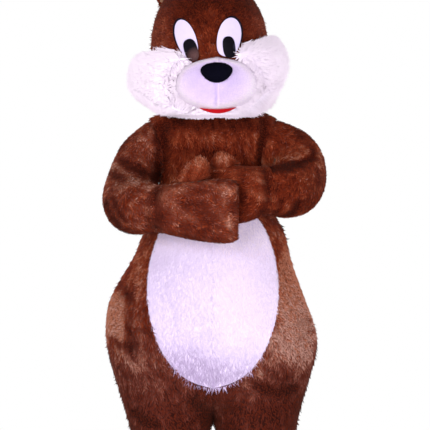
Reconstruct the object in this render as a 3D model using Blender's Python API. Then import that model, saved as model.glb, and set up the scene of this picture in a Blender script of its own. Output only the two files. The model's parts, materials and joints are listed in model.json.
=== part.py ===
"""Rabbit mascot costume: a plush suit with a padded pear shape, mitts, feet and a foam head with long ears.

Metres, +Z up. The origin is at the base of the wearer's neck, midway between the shoulders.
The mascot faces -Y, and its left hand is on +X. Every piece is a wall of plush whose outer face
reaches the tips of the pile.
"""

import math

import bmesh
import bpy
import numpy as np

# Walls and gaps
PLUSH = 0.009
HEAD_WALL = 0.018
SEAM = 0.0003
FELT = 0.003

# Shape of a cross-section: below 1 is squarer than an ellipse
SUIT_ROUND = 0.88
HEAD_ROUND = 0.92
MITT_ROUND = 0.72

# The suit, by height: half-widths, depths and the inner line of each leg
SUIT_COLUMNS = ("height", "right", "left", "front", "back", "inseam")
SUIT_ROWS = (
    (0.055, 0.100, 0.096, 0.074, 0.074, 0.000),
    (0.030, 0.122, 0.118, 0.080, 0.082, 0.000),
    (0.014, 0.165, 0.162, 0.088, 0.090, 0.000),
    (-0.005, 0.200, 0.200, 0.098, 0.100, 0.000),
    (-0.040, 0.204, 0.208, 0.114, 0.114, 0.000),
    (-0.090, 0.200, 0.204, 0.124, 0.120, 0.000),
    (-0.150, 0.188, 0.190, 0.130, 0.124, 0.000),
    (-0.225, 0.174, 0.176, 0.134, 0.126, 0.000),
    (-0.300, 0.182, 0.186, 0.146, 0.130, 0.000),
    (-0.340, 0.202, 0.212, 0.162, 0.134, 0.000),
    (-0.371, 0.224, 0.233, 0.182, 0.139, 0.000),
    (-0.442, 0.243, 0.240, 0.214, 0.150, 0.000),
    (-0.490, 0.273, 0.256, 0.229, 0.160, 0.000),
    (-0.528, 0.303, 0.271, 0.238, 0.171, 0.000),
    (-0.570, 0.325, 0.286, 0.245, 0.184, 0.000),
    (-0.608, 0.338, 0.301, 0.248, 0.197, 0.000),
    (-0.661, 0.342, 0.322, 0.248, 0.211, 0.000),
    (-0.701, 0.341, 0.334, 0.244, 0.218, 0.000),
    (-0.739, 0.336, 0.332, 0.237, 0.220, 0.000),
    (-0.794, 0.322, 0.318, 0.223, 0.215, 0.000),
    (-0.854, 0.304, 0.301, 0.205, 0.202, 0.000),
    (-0.918, 0.285, 0.281, 0.188, 0.188, 0.000),
    (-0.974, 0.268, 0.269, 0.174, 0.176, 0.000),
    (-1.004, 0.261, 0.263, 0.168, 0.171, 0.013),
    (-1.060, 0.250, 0.252, 0.158, 0.160, 0.024),
    (-1.160, 0.236, 0.238, 0.138, 0.142, 0.036),
    (-1.260, 0.224, 0.226, 0.118, 0.124, 0.045),
    (-1.340, 0.214, 0.216, 0.104, 0.110, 0.053),
    (-1.375, 0.208, 0.210, 0.098, 0.104, 0.058),
)
RISE_TOP = -0.870
CROTCH = -0.974
HEM = -1.375
NECK_HEIGHTS = (0.055, 0.030, 0.014)
LEG_HEIGHTS = (-0.885, -0.922, -0.952, CROTCH, -1.004, -1.060, -1.150, -1.260, HEM + 0.030, HEM)
SUIT_STRIPS = 8

# Armhole and belly are half ellipses on the suit
ARMHOLE = {"height": -0.115, "half_height": 0.110, "reach": 0.43, "steps": 8}
BELLY = {"height": -0.540, "half_height": 0.303, "half_width": 0.203, "steps": 13}
BELLY_STRIPS = 4

# Arm centre lines from the armhole to the wrist, on the wearer's left and right
ARM_COLUMNS = ("x", "y", "z", "tall", "wide")
ARM_ROWS = {
    1: (
        (0.198, 0.000, -0.115, 0.108, 0.086),
        (0.242, -0.014, -0.118, 0.094, 0.086),
        (0.275, -0.062, -0.160, 0.090, 0.086),
        (0.275, -0.120, -0.207, 0.089, 0.082),
        (0.250, -0.178, -0.233, 0.089, 0.082),
        (0.208, -0.222, -0.240, 0.086, 0.080),
        (0.160, -0.246, -0.240, 0.075, 0.068),
    ),
    -1: (
        (-0.198, 0.000, -0.115, 0.108, 0.086),
        (-0.230, -0.014, -0.146, 0.088, 0.084),
        (-0.253, -0.062, -0.200, 0.084, 0.080),
        (-0.264, -0.130, -0.254, 0.088, 0.082),
        (-0.254, -0.198, -0.284, 0.090, 0.084),
        (-0.214, -0.262, -0.292, 0.084, 0.080),
        (-0.166, -0.296, -0.294, 0.072, 0.066),
    ),
}
SLEEVE_RINGS = 11

# Mitts from the wrist to the fingertips
MITT_ROWS = {
    1: (
        (0.130, -0.257, -0.245, 0.080, 0.058),
        (0.095, -0.261, -0.251, 0.090, 0.050),
        (0.050, -0.255, -0.255, 0.092, 0.042),
        (0.005, -0.249, -0.254, 0.088, 0.038),
        (-0.035, -0.247, -0.251, 0.078, 0.033),
        (-0.058, -0.246, -0.250, 0.058, 0.024),
    ),
    -1: (
        (-0.128, -0.318, -0.297, 0.078, 0.056),
        (-0.085, -0.330, -0.299, 0.087, 0.048),
        (-0.035, -0.334, -0.301, 0.095, 0.042),
        (0.015, -0.335, -0.302, 0.100, 0.040),
        (0.055, -0.335, -0.303, 0.100, 0.036),
        (0.074, -0.335, -0.303, 0.088, 0.026),
    ),
}
MITT_TIP = {1: (-0.068, -0.246, -0.250), -1: (0.080, -0.335, -0.303)}
THUMB_COLUMNS = ("rise", "shift", "long", "deep")
THUMB_ROWS = {
    1: (
        (0.000, 0.000, 0.046, 0.026),
        (0.018, -0.004, 0.040, 0.024),
        (0.032, -0.008, 0.029, 0.018),
        (0.040, -0.010, 0.014, 0.010),
    ),
    -1: (
        (0.000, 0.000, 0.052, 0.028),
        (0.030, 0.010, 0.044, 0.026),
        (0.056, 0.018, 0.030, 0.020),
        (0.068, 0.021, 0.015, 0.011),
    ),
}
THUMB_X = {1: 0.036, -1: -0.058}

# The head, by height in its own frame: half-width and depths
HEAD_COLUMNS = ("height", "width", "front", "back")
HEAD_ROWS = (
    (-0.030, 0.122, 0.142, 0.110),
    (0.000, 0.142, 0.176, 0.126),
    (0.035, 0.158, 0.196, 0.146),
    (0.080, 0.173, 0.207, 0.168),
    (0.140, 0.184, 0.211, 0.186),
    (0.200, 0.187, 0.209, 0.194),
    (0.260, 0.185, 0.200, 0.193),
    (0.310, 0.174, 0.185, 0.183),
    (0.360, 0.151, 0.161, 0.161),
    (0.400, 0.121, 0.129, 0.130),
    (0.430, 0.087, 0.093, 0.094),
    (0.450, 0.047, 0.050, 0.051),
    (0.458, 0.012, 0.012, 0.012),
)
HEAD_TOP = 0.458
HEAD_AT = (-0.005, -0.010, 0.000)
HEAD_YAW = math.radians(2.0)
HEAD_ROLL = math.radians(1.5)
NECK_RIM = 0.0197
RIM_TILT = 0.002
CHIN_RIM = -0.013
HEAD_ROW_COUNT = 12
HEAD_STRIPS = 12

# Face pieces: centre, half-sizes and lean, across and up the head's front
EYE_COLUMNS = ("x", "z", "wide", "tall", "lean")
EYE_WHITES = {1: (0.053, 0.229, 0.0355, 0.0600, -13.0), -1: (-0.077, 0.228, 0.0290, 0.0610, 17.0)}
PUPILS = {1: (0.051, 0.196, 0.0190, 0.0335, 5.0), -1: (-0.062, 0.190, 0.0200, 0.0355, 15.0)}
EYE_EDGE_WIDTH = 0.006
EYE_FULLNESS = 0.66
EYE_DROP = 1.06
MUZZLE = {"x": 0.013, "z": 0.086, "half_width": 0.117, "up": 0.070, "down": 0.074, "ahead": 0.085, "edge": 0.010}
MUZZLE_TUCK = math.radians(114)
CHEEK_COLUMNS = ("turn", "height")
CHEEKS = {
    1: {"middle": (76, 0.140), "edge": 0.010, "rise": 0.037, "lean": 0.45},
    -1: {"middle": (72, 0.106), "edge": 0.012, "rise": 0.058, "lean": 0.05},
}
CHEEK_OUTLINES = {
    1: (
        (25, 0.165),
        (27, 0.187),
        (42, 0.213),
        (62, 0.232),
        (82, 0.240),
        (99, 0.228),
        (108, 0.195),
        (108, 0.150),
        (104, 0.105),
        (95, 0.072),
        (80, 0.048),
        (60, 0.026),
        (42, 0.014),
        (44, 0.036),
        (57, 0.072),
        (53, 0.104),
        (38, 0.140),
    ),
    -1: (
        (26, 0.157),
        (30, 0.173),
        (50, 0.188),
        (74, 0.192),
        (96, 0.182),
        (110, 0.155),
        (115, 0.115),
        (110, 0.074),
        (94, 0.048),
        (72, 0.036),
        (50, 0.020),
        (30, 0.014),
        (32, 0.032),
        (43, 0.064),
        (43, 0.098),
        (31, 0.136),
    ),
}
CHEEK_TUCK = math.radians(108)
CHIN = {"x": 0.000, "z": -0.0050, "half_width": 0.112, "half_height": 0.0085, "ahead": 0.040}
NOSE = {"x": 0.009, "z": 0.119, "half_width": 0.050, "up": 0.025, "down": 0.040, "ahead": 0.026}
MOUTH = {"x": 0.013, "half_width": 0.056, "corner_z": 0.0125, "sag": 0.0055, "tall": 0.0110}

# Ears: middle of each root in the head's own frame, and lean from upright. The left one stands straighter
EAR_BASES = {1: (0.070, 0.012, 0.372), -1: (-0.118, 0.012, 0.355)}
EAR_LEANS = {1: math.radians(10.0), -1: math.radians(17.0)}
EAR_COLUMNS = ("along", "half_width", "cup")
EAR_ROWS = (
    (0.000, 0.034, 0.004),
    (0.060, 0.041, 0.008),
    (0.140, 0.052, 0.012),
    (0.220, 0.055, 0.012),
    (0.290, 0.047, 0.009),
    (0.335, 0.030, 0.004),
    (0.352, 0.010, 0.000),
)
EAR_WALL = 0.016
EAR_LINING = 0.005

# Feet
FLOOR = -1.470
SOLE = 0.014
FOOT_X = 0.138
FOOT_COLUMNS = ("height", "middle", "half_length", "half_width")
FOOT_ROWS = (
    (-1.4557, -0.085, 0.178, 0.086),
    (-1.435, -0.086, 0.186, 0.094),
    (-1.412, -0.080, 0.178, 0.093),
    (-1.393, -0.056, 0.146, 0.086),
)
SHAFT_HEIGHTS = (HEM - 0.004, HEM, HEM + 0.030)

# Centre-back zip
ZIP_TOP = 0.020
ZIP_BOTTOM = -0.700
ZIP_HALF = 0.013
ZIP_TAPE = 0.0016
SLIDER_AT = -0.030
SLIDER = {"wide": 0.011, "deep": 0.005, "long": 0.020}
PULL = {"wide": 0.008, "thick": 0.0018, "long": 0.032}
PIN_RISE = 0.0036
PIN_RADIUS = 0.0011
LUG_X = 0.0042
LUG_THICK = 0.0016
EYE_RADIUS = 0.0030
EYE_LENGTH = 0.0056

BROWN = (0.24, 0.085, 0.035)
WHITE = (0.86, 0.80, 0.88)
COLLECTION = "rabbit_mascot_costume"


def read_table(columns, rows):
    """Named columns of a table, as arrays."""
    return dict(zip(columns, np.array(rows, float).T))


def curve(at, knots, values):
    """A smooth curve through the values that never overshoots them. The knots may fall or rise."""
    order = np.argsort(knots)
    knots, values = np.asarray(knots)[order], np.asarray(values)[order]
    steps = np.diff(knots)
    rates = np.diff(values) / steps
    slopes = np.zeros(len(values))
    same_way = rates[:-1] * rates[1:] > 0
    before, after = 2 * steps[1:] + steps[:-1], steps[1:] + 2 * steps[:-1]
    safe = np.where(same_way, rates[:-1] * rates[1:], 1.0)
    slopes[1:-1] = np.where(
        same_way, (before + after) * safe / np.where(same_way, before * rates[1:] + after * rates[:-1], 1.0), 0.0
    )
    slopes[0], slopes[-1] = rates[0], rates[-1]
    at = np.clip(at, knots[0], knots[-1])
    cell = np.clip(np.searchsorted(knots, at, side="right") - 1, 0, len(steps) - 1)
    t = (at - knots[cell]) / steps[cell]
    return (
        values[cell] * (1 + 2 * t) * (1 - t) ** 2
        + slopes[cell] * steps[cell] * t * (1 - t) ** 2
        + values[cell + 1] * t * t * (3 - 2 * t)
        + slopes[cell + 1] * steps[cell] * t * t * (t - 1)
    )


def signed_power(value, power):
    return np.sign(value) * np.abs(value) ** power


def unit(vectors):
    return vectors / np.linalg.norm(vectors, axis=-1, keepdims=True)


def ease(share):
    share = np.clip(share, 0.0, 1.0)
    return share * share * (3 - 2 * share)


SUIT = read_table(SUIT_COLUMNS, SUIT_ROWS)
HEAD = read_table(HEAD_COLUMNS, HEAD_ROWS)


def suit_size(side, face, height):
    """Half-width and depth of the suit at a height, on one side and face."""
    width = curve(height, SUIT["height"], SUIT["left" if side > 0 else "right"])
    depth = curve(height, SUIT["height"], SUIT["front" if face < 0 else "back"])
    return width, depth


def suit_surface(side, face, across, height):
    """Outer points of a quarter of the suit. across runs from the centre seam or inseam, 0, to the side seam, 1."""
    width, depth = suit_size(side, face, height)
    inseam = curve(height, SUIT["height"], SUIT["inseam"])
    quarter = across * math.pi / 2
    round_leg = across * math.pi
    leg = ease((RISE_TOP - height) / (RISE_TOP - CROTCH))
    x_body = width * np.sin(quarter) ** SUIT_ROUND
    y_body = depth * np.abs(np.cos(quarter)) ** SUIT_ROUND
    x_leg = (width + inseam) / 2 - (width - inseam) / 2 * signed_power(np.cos(round_leg), SUIT_ROUND)
    y_leg = depth * np.abs(np.sin(round_leg)) ** SUIT_ROUND
    x = (1 - leg) * x_body + leg * x_leg
    y = (1 - leg) * y_body + leg * y_leg
    return np.stack([side * (x + SEAM / 2), face * (y + SEAM / 2), height + 0 * x], axis=-1)


def suit_outward(side, face, across, height):
    """Unit normals of the suit, out of the cloth."""
    step = 1e-4
    low, high = np.clip(across - step, 0, 1), np.clip(across + step, 0, 1)
    along = suit_surface(side, face, high, height) - suit_surface(side, face, low, height)
    upward = suit_surface(side, face, across, height + step) - suit_surface(side, face, across, height - step)
    return -side * face * unit(np.cross(along, upward))


def across_at(side, face, x, height):
    """The place across the suit where its half-width is x."""
    width, _ = suit_size(side, face, height)
    share = np.clip(x / width, 0, 1) ** (1 / SUIT_ROUND)
    return np.arcsin(share) * 2 / math.pi


def suit_wall(side, face, across, height, wall=PLUSH):
    """Outer and inner points of the suit's wall."""
    outer = suit_surface(side, face, across, height)
    inner = outer - wall * suit_outward(side, face, across, height)
    return outer, inner


def place_object(name, verts, faces, finish):
    """A closed mesh from points and faces, with doubled points merged and its faces turned out."""
    mesh = bpy.data.meshes.new(name)
    mesh.from_pydata([tuple(point) for point in verts], [], faces)
    shape = bmesh.new()
    shape.from_mesh(mesh)
    bmesh.ops.remove_doubles(shape, verts=shape.verts, dist=1e-6)
    bmesh.ops.recalc_face_normals(shape, faces=shape.faces)
    shape.to_mesh(mesh)
    shape.free()
    mesh.shade_smooth()
    mesh.set_sharp_from_angle(angle=math.radians(50))
    piece = bpy.data.objects.new(name, mesh)
    bpy.data.collections[COLLECTION].objects.link(piece)
    if finish:
        piece.data.materials.append(finish)
    return piece


def cloth(name, outer, inner, finish, closed=False):
    """A wall of cloth between two grids of points, rows by columns. closed joins the last column to the first."""
    rows, columns = outer.shape[:2]
    verts = np.concatenate([outer.reshape(-1, 3), inner.reshape(-1, 3)])
    below = rows * columns

    def corner(row, column):
        return row * columns + column % columns

    faces = []
    for row in range(rows - 1):
        for column in range(columns if closed else columns - 1):
            quad = (
                corner(row, column),
                corner(row, column + 1),
                corner(row + 1, column + 1),
                corner(row + 1, column),
            )
            faces.append(quad)
            faces.append(tuple(below + point for point in reversed(quad)))
    rims = [[corner(0, column) for column in range(columns + closed)]]
    rims.append([corner(rows - 1, column) for column in range(columns + closed)])
    if not closed:
        rims.append([corner(row, 0) for row in range(rows)])
        rims.append([corner(row, columns - 1) for row in range(rows)])
    for rim in rims:
        for first, second in zip(rim[:-1], rim[1:]):
            faces.append((first, second, below + second))
            faces.append((first, below + second, below + first))
    return place_object(name, verts, faces, finish)


def armhole_turns():
    return np.arange(2 * ARMHOLE["steps"]) * math.pi / ARMHOLE["steps"]


def suit_heights():
    """Heights of the rows that all four suit panels share."""
    arm_steps = np.arange(ARMHOLE["steps"] + 1) * math.pi / ARMHOLE["steps"]
    belly_steps = np.arange(BELLY["steps"] + 1) * math.pi / BELLY["steps"]
    arm_heights = ARMHOLE["height"] + ARMHOLE["half_height"] * np.cos(arm_steps)
    belly_heights = BELLY["height"] + BELLY["half_height"] * np.cos(belly_steps)
    return np.concatenate([NECK_HEIGHTS, arm_heights, belly_heights, LEG_HEIGHTS])


def half_ellipse(height, centre, half_height):
    return np.sqrt(np.clip(1 - ((height - centre) / half_height) ** 2, 0, 1))


def panel_span(side, face, heights):
    """Where each row of a suit panel begins and ends: beside the belly, and at the armhole."""
    begins = np.zeros(len(heights))
    if face < 0:
        belly = BELLY["half_width"] * half_ellipse(heights, BELLY["height"], BELLY["half_height"])
        begins = across_at(side, face, belly, heights)
    ends = 1 - ARMHOLE["reach"] * half_ellipse(heights, ARMHOLE["height"], ARMHOLE["half_height"])
    return begins, ends


def make_suit(brown):
    heights = suit_heights()
    share = np.linspace(0, 1, SUIT_STRIPS + 1)
    for side, hand in ((1, "left"), (-1, "right")):
        for face, where in ((-1, "front"), (1, "back")):
            begins, ends = panel_span(side, face, heights)
            across = begins[:, None] + (ends - begins)[:, None] * share
            outer, inner = suit_wall(side, face, across, heights[:, None] + 0 * across)
            cloth(f"suit_{where}_{hand}", outer, inner, brown)


def make_belly(white):
    """Two halves of white plush that fill the opening between the suit's fronts."""
    inset = 1.3 * SEAM
    turns = np.arange(BELLY["steps"] + 1) * math.pi / BELLY["steps"]
    heights = BELLY["height"] + (BELLY["half_height"] - inset) * np.cos(turns)
    edge = (BELLY["half_width"] - inset) * np.sin(turns)
    share = np.linspace(0, 1, BELLY_STRIPS + 1)
    for side, hand in ((1, "left"), (-1, "right")):
        across = across_at(side, -1, edge, heights)[:, None] * share
        outer, inner = suit_wall(side, -1, across, heights[:, None] + 0 * across)
        cloth(f"belly_{hand}", outer, inner, white)


def frames_along(centres, first_way=None):
    """Directions along a centre line, with an upward and a sideways unit vector across it."""
    along = np.gradient(centres, axis=0)
    if first_way is not None:
        along[0] = first_way
    along = unit(along)
    up = np.array([0.0, 0.0, 1.0])
    upward = unit(up - (along @ up)[:, None] * along)
    return along, upward, np.cross(along, upward)


def ring_points(centre, upward, sideways, tall, wide, turns, roundness=1.0):
    rise = signed_power(np.cos(turns), roundness)[:, None] * tall * upward
    reach = signed_power(np.sin(turns), roundness)[:, None] * wide * sideways
    return centre + rise + reach


def armhole_ring(side):
    """Outer and inner points of a sleeve's first ring, just inside the armhole."""
    inset = 2.5 * SEAM
    half_height = ARMHOLE["half_height"] - inset
    reach = ARMHOLE["reach"] * half_height / ARMHOLE["half_height"]
    outer, inner = [], []
    for turn in armhole_turns():
        face = -1 if math.sin(turn) >= 0 else 1
        across = np.array(1 - reach * abs(math.sin(turn)))
        height = np.array(ARMHOLE["height"] + half_height * math.cos(turn))
        out, into = suit_wall(side, face, across, height)
        outer.append(out)
        inner.append(into)
    return np.array(outer), np.array(inner)


def arm_line(side):
    """Centres and half-sizes along an arm, evenly spaced, from the armhole to the wrist."""
    arm = read_table(ARM_COLUMNS, ARM_ROWS[side])
    knots = np.arange(len(arm["x"]))
    at = np.linspace(0, knots[-1], SLEEVE_RINGS)
    columns = [curve(at, knots, arm[name]) for name in ARM_COLUMNS]
    return np.stack(columns[:3], axis=-1), columns[3], columns[4]


def make_sleeve(side, hand, brown):
    centres, tall, wide = arm_line(side)
    _, upward, sideways = frames_along(centres)
    turns = armhole_turns()
    outer, inner = armhole_ring(side)
    outers, inners = [outer], [inner]
    for ring in range(1, len(centres)):
        place = (centres[ring], upward[ring], side * sideways[ring])
        outers.append(ring_points(*place, tall[ring], wide[ring], turns))
        inners.append(ring_points(*place, tall[ring] - PLUSH, wide[ring] - PLUSH, turns))
    cloth(f"sleeve_{hand}", np.array(outers), np.array(inners), brown, closed=True)


def mitt_rings(side):
    """Centres, frames and half-sizes of a mitt's rings. The first faces the sleeve's end squarely."""
    centres, tall, wide = arm_line(side)
    along, _, _ = frames_along(centres)
    mitt = read_table(ARM_COLUMNS, MITT_ROWS[side])
    hand_centres = np.stack([mitt["x"], mitt["y"], mitt["z"]], axis=-1)
    wrist = centres[-1] + SEAM * along[-1]
    hand_centres = np.vstack([wrist, hand_centres])
    _, upward, sideways = frames_along(hand_centres, along[-1])
    tall = np.append(tall[-1], mitt["tall"])
    wide = np.append(wide[-1], mitt["wide"])
    return hand_centres, upward, sideways, tall, wide


def make_mitt(side, hand, brown):
    centres, upward, sideways, tall, wide = mitt_rings(side)
    turns = armhole_turns()
    tip = np.array(MITT_TIP[side])
    outers, inners = [], []
    for ring, centre in enumerate(centres):
        roundness = 1.0 if ring == 0 else MITT_ROUND
        place = (centre, upward[ring], sideways[ring])
        outers.append(ring_points(*place, tall[ring], wide[ring], turns, roundness))
        inners.append(ring_points(*place, tall[ring] - PLUSH, wide[ring] - PLUSH, turns, roundness))
    palm = centres[-1] - centres[-2]
    inner_tip = tip - PLUSH * unit(palm)
    inners[-1] = inners[-1] - 0.6 * PLUSH * unit(palm)
    outers.append(np.tile(tip, (len(turns), 1)))
    inners.append(np.tile(inner_tip, (len(turns), 1)))
    return cloth(f"mitt_{hand}", np.array(outers), np.array(inners), brown, closed=True)


def mitt_top(side, x, y):
    """Height of a mitt's upper face over a point."""
    centres, _, _, tall, wide = mitt_rings(side)
    centre_y = curve(x, centres[:, 0], centres[:, 1])
    centre_z = curve(x, centres[:, 0], centres[:, 2])
    share = np.clip(np.abs(y - centre_y) / curve(x, centres[:, 0], wide), 0, 1)
    return centre_z + curve(x, centres[:, 0], tall) * (1 - share ** (2 / MITT_ROUND)) ** (MITT_ROUND / 2)


def make_thumb(side, hand, brown, mitt, cutters):
    """A thumb sewn round a hole in the top of the mitt."""
    thumb = read_table(THUMB_COLUMNS, THUMB_ROWS[side])
    centres, _, _, _, _ = mitt_rings(side)
    x = THUMB_X[side]
    y = float(curve(x, centres[:, 0], centres[:, 1]))
    turns = armhole_turns()
    outers, inners = [], []
    for ring in range(len(thumb["rise"])):
        for wall, into in ((0.0, outers), (PLUSH * 0.8, inners)):
            across = x + thumb["shift"][ring] + (thumb["long"][ring] - wall) * np.cos(turns)
            deep = y + (thumb["deep"][ring] - wall) * np.sin(turns)
            seat = mitt_top(side, across, deep) + 6 * SEAM
            crest = mitt_top(side, x, y)
            flat = ring / (len(thumb["rise"]) - 1)
            base = seat * (1 - flat) + crest * flat
            into.append(np.stack([across, deep, base + thumb["rise"][ring] - wall * flat], axis=-1))
    tip = np.array([x + thumb["shift"][-1], y, mitt_top(side, x, y) + thumb["rise"][-1] + 0.006])
    outers.append(np.tile(tip, (len(turns), 1)))
    inners.append(np.tile(tip - [0, 0, PLUSH], (len(turns), 1)))
    cloth(f"thumb_{hand}", np.array(outers), np.array(inners), brown, closed=True)
    bpy.ops.mesh.primitive_cylinder_add(
        vertices=12, radius=thumb["deep"][0] * 0.55, depth=0.04, location=(x, y, mitt_top(side, x, y))
    )
    cut_from(mitt, bpy.context.object, f"thumb_hole_{hand}", cutters)


def cut_from(piece, cutter, name, cutters):
    """Cuts a helper shape out of a piece, and keeps the helper out of sight."""
    cutter.name = name
    for group in list(cutter.users_collection):
        group.objects.unlink(cutter)
    cutters.objects.link(cutter)
    cutter.hide_render = True
    cutter.display_type = "WIRE"
    cut = piece.modifiers.new(name, "BOOLEAN")
    cut.operation = "DIFFERENCE"
    cut.object = cutter


def head_surface(turn, height):
    """Points of the head's outer face in its own frame. turn is 0 straight ahead and grows towards its left."""
    width = curve(height, HEAD["height"], HEAD["width"])
    ahead = curve(height, HEAD["height"], HEAD["front"])
    behind = curve(height, HEAD["height"], HEAD["back"])
    depth = np.where(np.cos(turn) >= 0, ahead, behind)
    x = width * signed_power(np.sin(turn), HEAD_ROUND)
    y = -depth * signed_power(np.cos(turn), HEAD_ROUND)
    return np.stack([x, y, height + 0 * x], axis=-1)


def head_outward(turn, height):
    step = 1e-4
    along = head_surface(turn + step, height) - head_surface(turn - step, height)
    upward = head_surface(turn, height + step) - head_surface(turn, height - step)
    return unit(np.cross(along, upward))


def head_turn(x, height):
    """The turn at which the head's front is x from its middle."""
    width = curve(height, HEAD["height"], HEAD["width"])
    share = np.clip(x / width, -0.995, 0.995)
    return np.arcsin(signed_power(share, 1 / HEAD_ROUND))


def face_points(x, height):
    turn = head_turn(x, height)
    return head_surface(turn, height), head_outward(turn, height)


def on_head(points):
    """Points in the head's own frame, moved to where the head sits on the shoulders."""
    points = np.asarray(points, float)
    lean, turn = -HEAD_ROLL, HEAD_YAW
    x = points[..., 0] * math.cos(lean) + points[..., 2] * math.sin(lean)
    z = -points[..., 0] * math.sin(lean) + points[..., 2] * math.cos(lean)
    y = points[..., 1]
    across, deep = x * math.cos(turn) - y * math.sin(turn), x * math.sin(turn) + y * math.cos(turn)
    return np.stack([across, deep, z], axis=-1) + np.array(HEAD_AT)


def head_rim(turn):
    """Height of the head's lower edge: it rests on the shoulders and drops under the chin."""
    return NECK_RIM + (CHIN_RIM - NECK_RIM) * ease((np.cos(turn) - 0.25) / 0.6) - RIM_TILT * np.sin(turn)


def head_grid(begin, end, out=0.0):
    turns = np.linspace(begin, end, HEAD_STRIPS + 1)[None, :]
    climb = np.sin(np.linspace(0, math.pi / 2, HEAD_ROW_COUNT))[:, None]
    rim = head_rim(turns)
    heights = rim + (HEAD_TOP - rim) * climb
    turns = turns + 0 * heights
    outer = head_surface(turns, heights)
    normals = head_outward(turns, np.minimum(heights, HEAD_TOP - 0.004))
    top = np.array([0.0, 0.0, HEAD_TOP + 0.002 + out])
    shell = outer + out * normals
    shell[-1] = top
    inner = outer - HEAD_WALL * normals
    inner[-1] = top - [0, 0, HEAD_WALL]
    return shell, inner


def make_head(brown):
    """Front and back halves of the head's shell, and a helper of its outer form for the ears' roots."""
    quarter = math.pi / 2
    for name, begin, face in (("head_front", -quarter, -1), ("head_back", quarter, 1)):
        outer, inner = head_grid(begin, begin + math.pi)
        shift = np.array([0.0, face * SEAM / 2, 0.0])
        cloth(name, on_head(outer + shift), on_head(inner + shift), brown)
    ahead, _ = head_grid(-quarter, quarter, SEAM)
    behind, _ = head_grid(quarter, 3 * quarter, SEAM)
    whole = np.concatenate([ahead[:, :-1], behind[:, :-1]], axis=1)
    core = whole * [0.2, 0.2, 1.0] - [0, 0, 0.03]
    helper = cloth("head_form", on_head(whole), on_head(core), None, closed=True)
    return helper


def disc(outline, rings, steps):
    """Shares of an outline from its middle to its edge: rows of rings by columns round it."""
    turns = np.arange(steps) * 2 * math.pi / steps
    edge = outline(turns)
    shares = np.linspace(0, 1, rings + 1)
    return shares[:, None, None] * edge[None], shares[:, None] + 0 * turns[None]


def patch(name, centre_x, centre_z, outline, lift, wall, finish, rings=2, steps=16):
    """A flat piece glued to the head: the head's own points, moved out by lift, and further by wall(share)."""
    offsets, shares = disc(outline, rings, steps)
    base, normals = face_points(centre_x + offsets[..., 0], centre_z + offsets[..., 1])
    inner = base + lift * normals
    outer = base + (lift + wall(shares))[..., None] * normals
    return cloth(name, on_head(outer), on_head(inner), finish, closed=True)


def ellipse(wide, tall, lean, roundness=1.0):
    """An outline that leans to one side, in degrees."""
    lean = math.radians(lean)

    def outline(turns):
        x, z = wide * signed_power(np.cos(turns), roundness), tall * signed_power(np.sin(turns), roundness)
        return np.stack([x * math.cos(lean) - z * math.sin(lean), x * math.sin(lean) + z * math.cos(lean)], axis=-1)

    return outline


def egg(wide, tall, lean):
    """An ellipse whose lower end is fuller and longer."""
    lean = math.radians(lean)

    def outline(turns):
        low = np.sin(turns) < 0
        x = wide * signed_power(np.cos(turns), np.where(low, EYE_FULLNESS, 1.0))
        z = tall * np.sin(turns) * np.where(low, EYE_DROP, 1.0)
        return np.stack([x * math.cos(lean) - z * math.sin(lean), x * math.sin(lean) + z * math.cos(lean)], axis=-1)

    return outline


def make_eye(side, hand, felt_white, felt_black, mesh_black):
    x, z, wide, tall, lean = EYE_WHITES[side]
    patch(f"eye_white_{hand}", x, z, egg(wide, tall, lean), 2 * SEAM, lambda s: FELT + 0 * s, felt_white, steps=20)
    px, pz, pupil_wide, pupil_tall, pupil_lean = PUPILS[side]
    patch(
        f"pupil_{hand}",
        px,
        pz,
        ellipse(pupil_wide, pupil_tall, pupil_lean, 0.75),
        FELT + 5 * SEAM,
        lambda s: 0.002 + 0.002 * (1 - s**2),
        mesh_black,
        steps=16,
    )
    begin, end = (-0.15 * math.pi, 0.8 * math.pi) if side > 0 else (0.2 * math.pi, 1.15 * math.pi)
    turns = np.linspace(begin, end, 17)
    band = EYE_EDGE_WIDTH * (0.25 + 0.75 * np.sin(np.linspace(0, math.pi, len(turns))))
    gap = 2 * SEAM
    inside = egg(wide + gap, tall + gap, lean)(turns)
    outside = inside + unit(inside) * band[:, None]
    rim = np.stack([inside, outside])
    base, normals = face_points(x + rim[..., 0], z + rim[..., 1])
    lower, upper = base + 2 * SEAM * normals, base + (2 * SEAM + FELT + 0.001) * normals
    cloth(f"eye_edge_{hand}", on_head(upper), on_head(lower), felt_black)


def tucked_dome(slope, tuck):
    """Height, 1 to 0, of a stuffed form whose side turns under at its edge. slope runs from 0 on top to tuck."""
    return (np.cos(slope) - math.cos(tuck)) / (1 - math.cos(tuck))


def muzzle_ahead(x, z):
    """How far the muzzle stands ahead of the head: two lobes that meet in a groove."""
    across = (x - MUZZLE["x"]) / MUZZLE["half_width"]
    climb = z - MUZZLE["z"]
    up = np.where(climb > 0, climb / MUZZLE["up"], climb / MUZZLE["down"])
    share = np.clip(np.sqrt(across**2 + up**2) * math.sin(MUZZLE_TUCK), 0, 1)
    dome = tucked_dome(np.arcsin(share), MUZZLE_TUCK)
    groove = 0.06 * np.exp(-((across / 0.12) ** 2)) * ease(-climb / 0.03 + 0.4)
    return MUZZLE["edge"] + (MUZZLE["ahead"] - MUZZLE["edge"]) * dome * (1 - groove)


def muzzle_surface(x, z):
    base, _ = face_points(x, z)
    return base - np.stack([0 * x, muzzle_ahead(x, z), 0 * x], axis=-1)


def muzzle_spot(side, share, angle):
    """A place on the head's front, by its share of the way from the seam to the muzzle's edge."""
    tall = np.where(angle > 0, MUZZLE["up"], MUZZLE["down"])
    x = MUZZLE["x"] + side * (SEAM / 2 + share * MUZZLE["half_width"] * np.abs(np.cos(angle)) ** 0.9)
    z = MUZZLE["z"] + share * tall * signed_power(np.sin(angle), 0.9) + 0 * x
    return x, z


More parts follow.
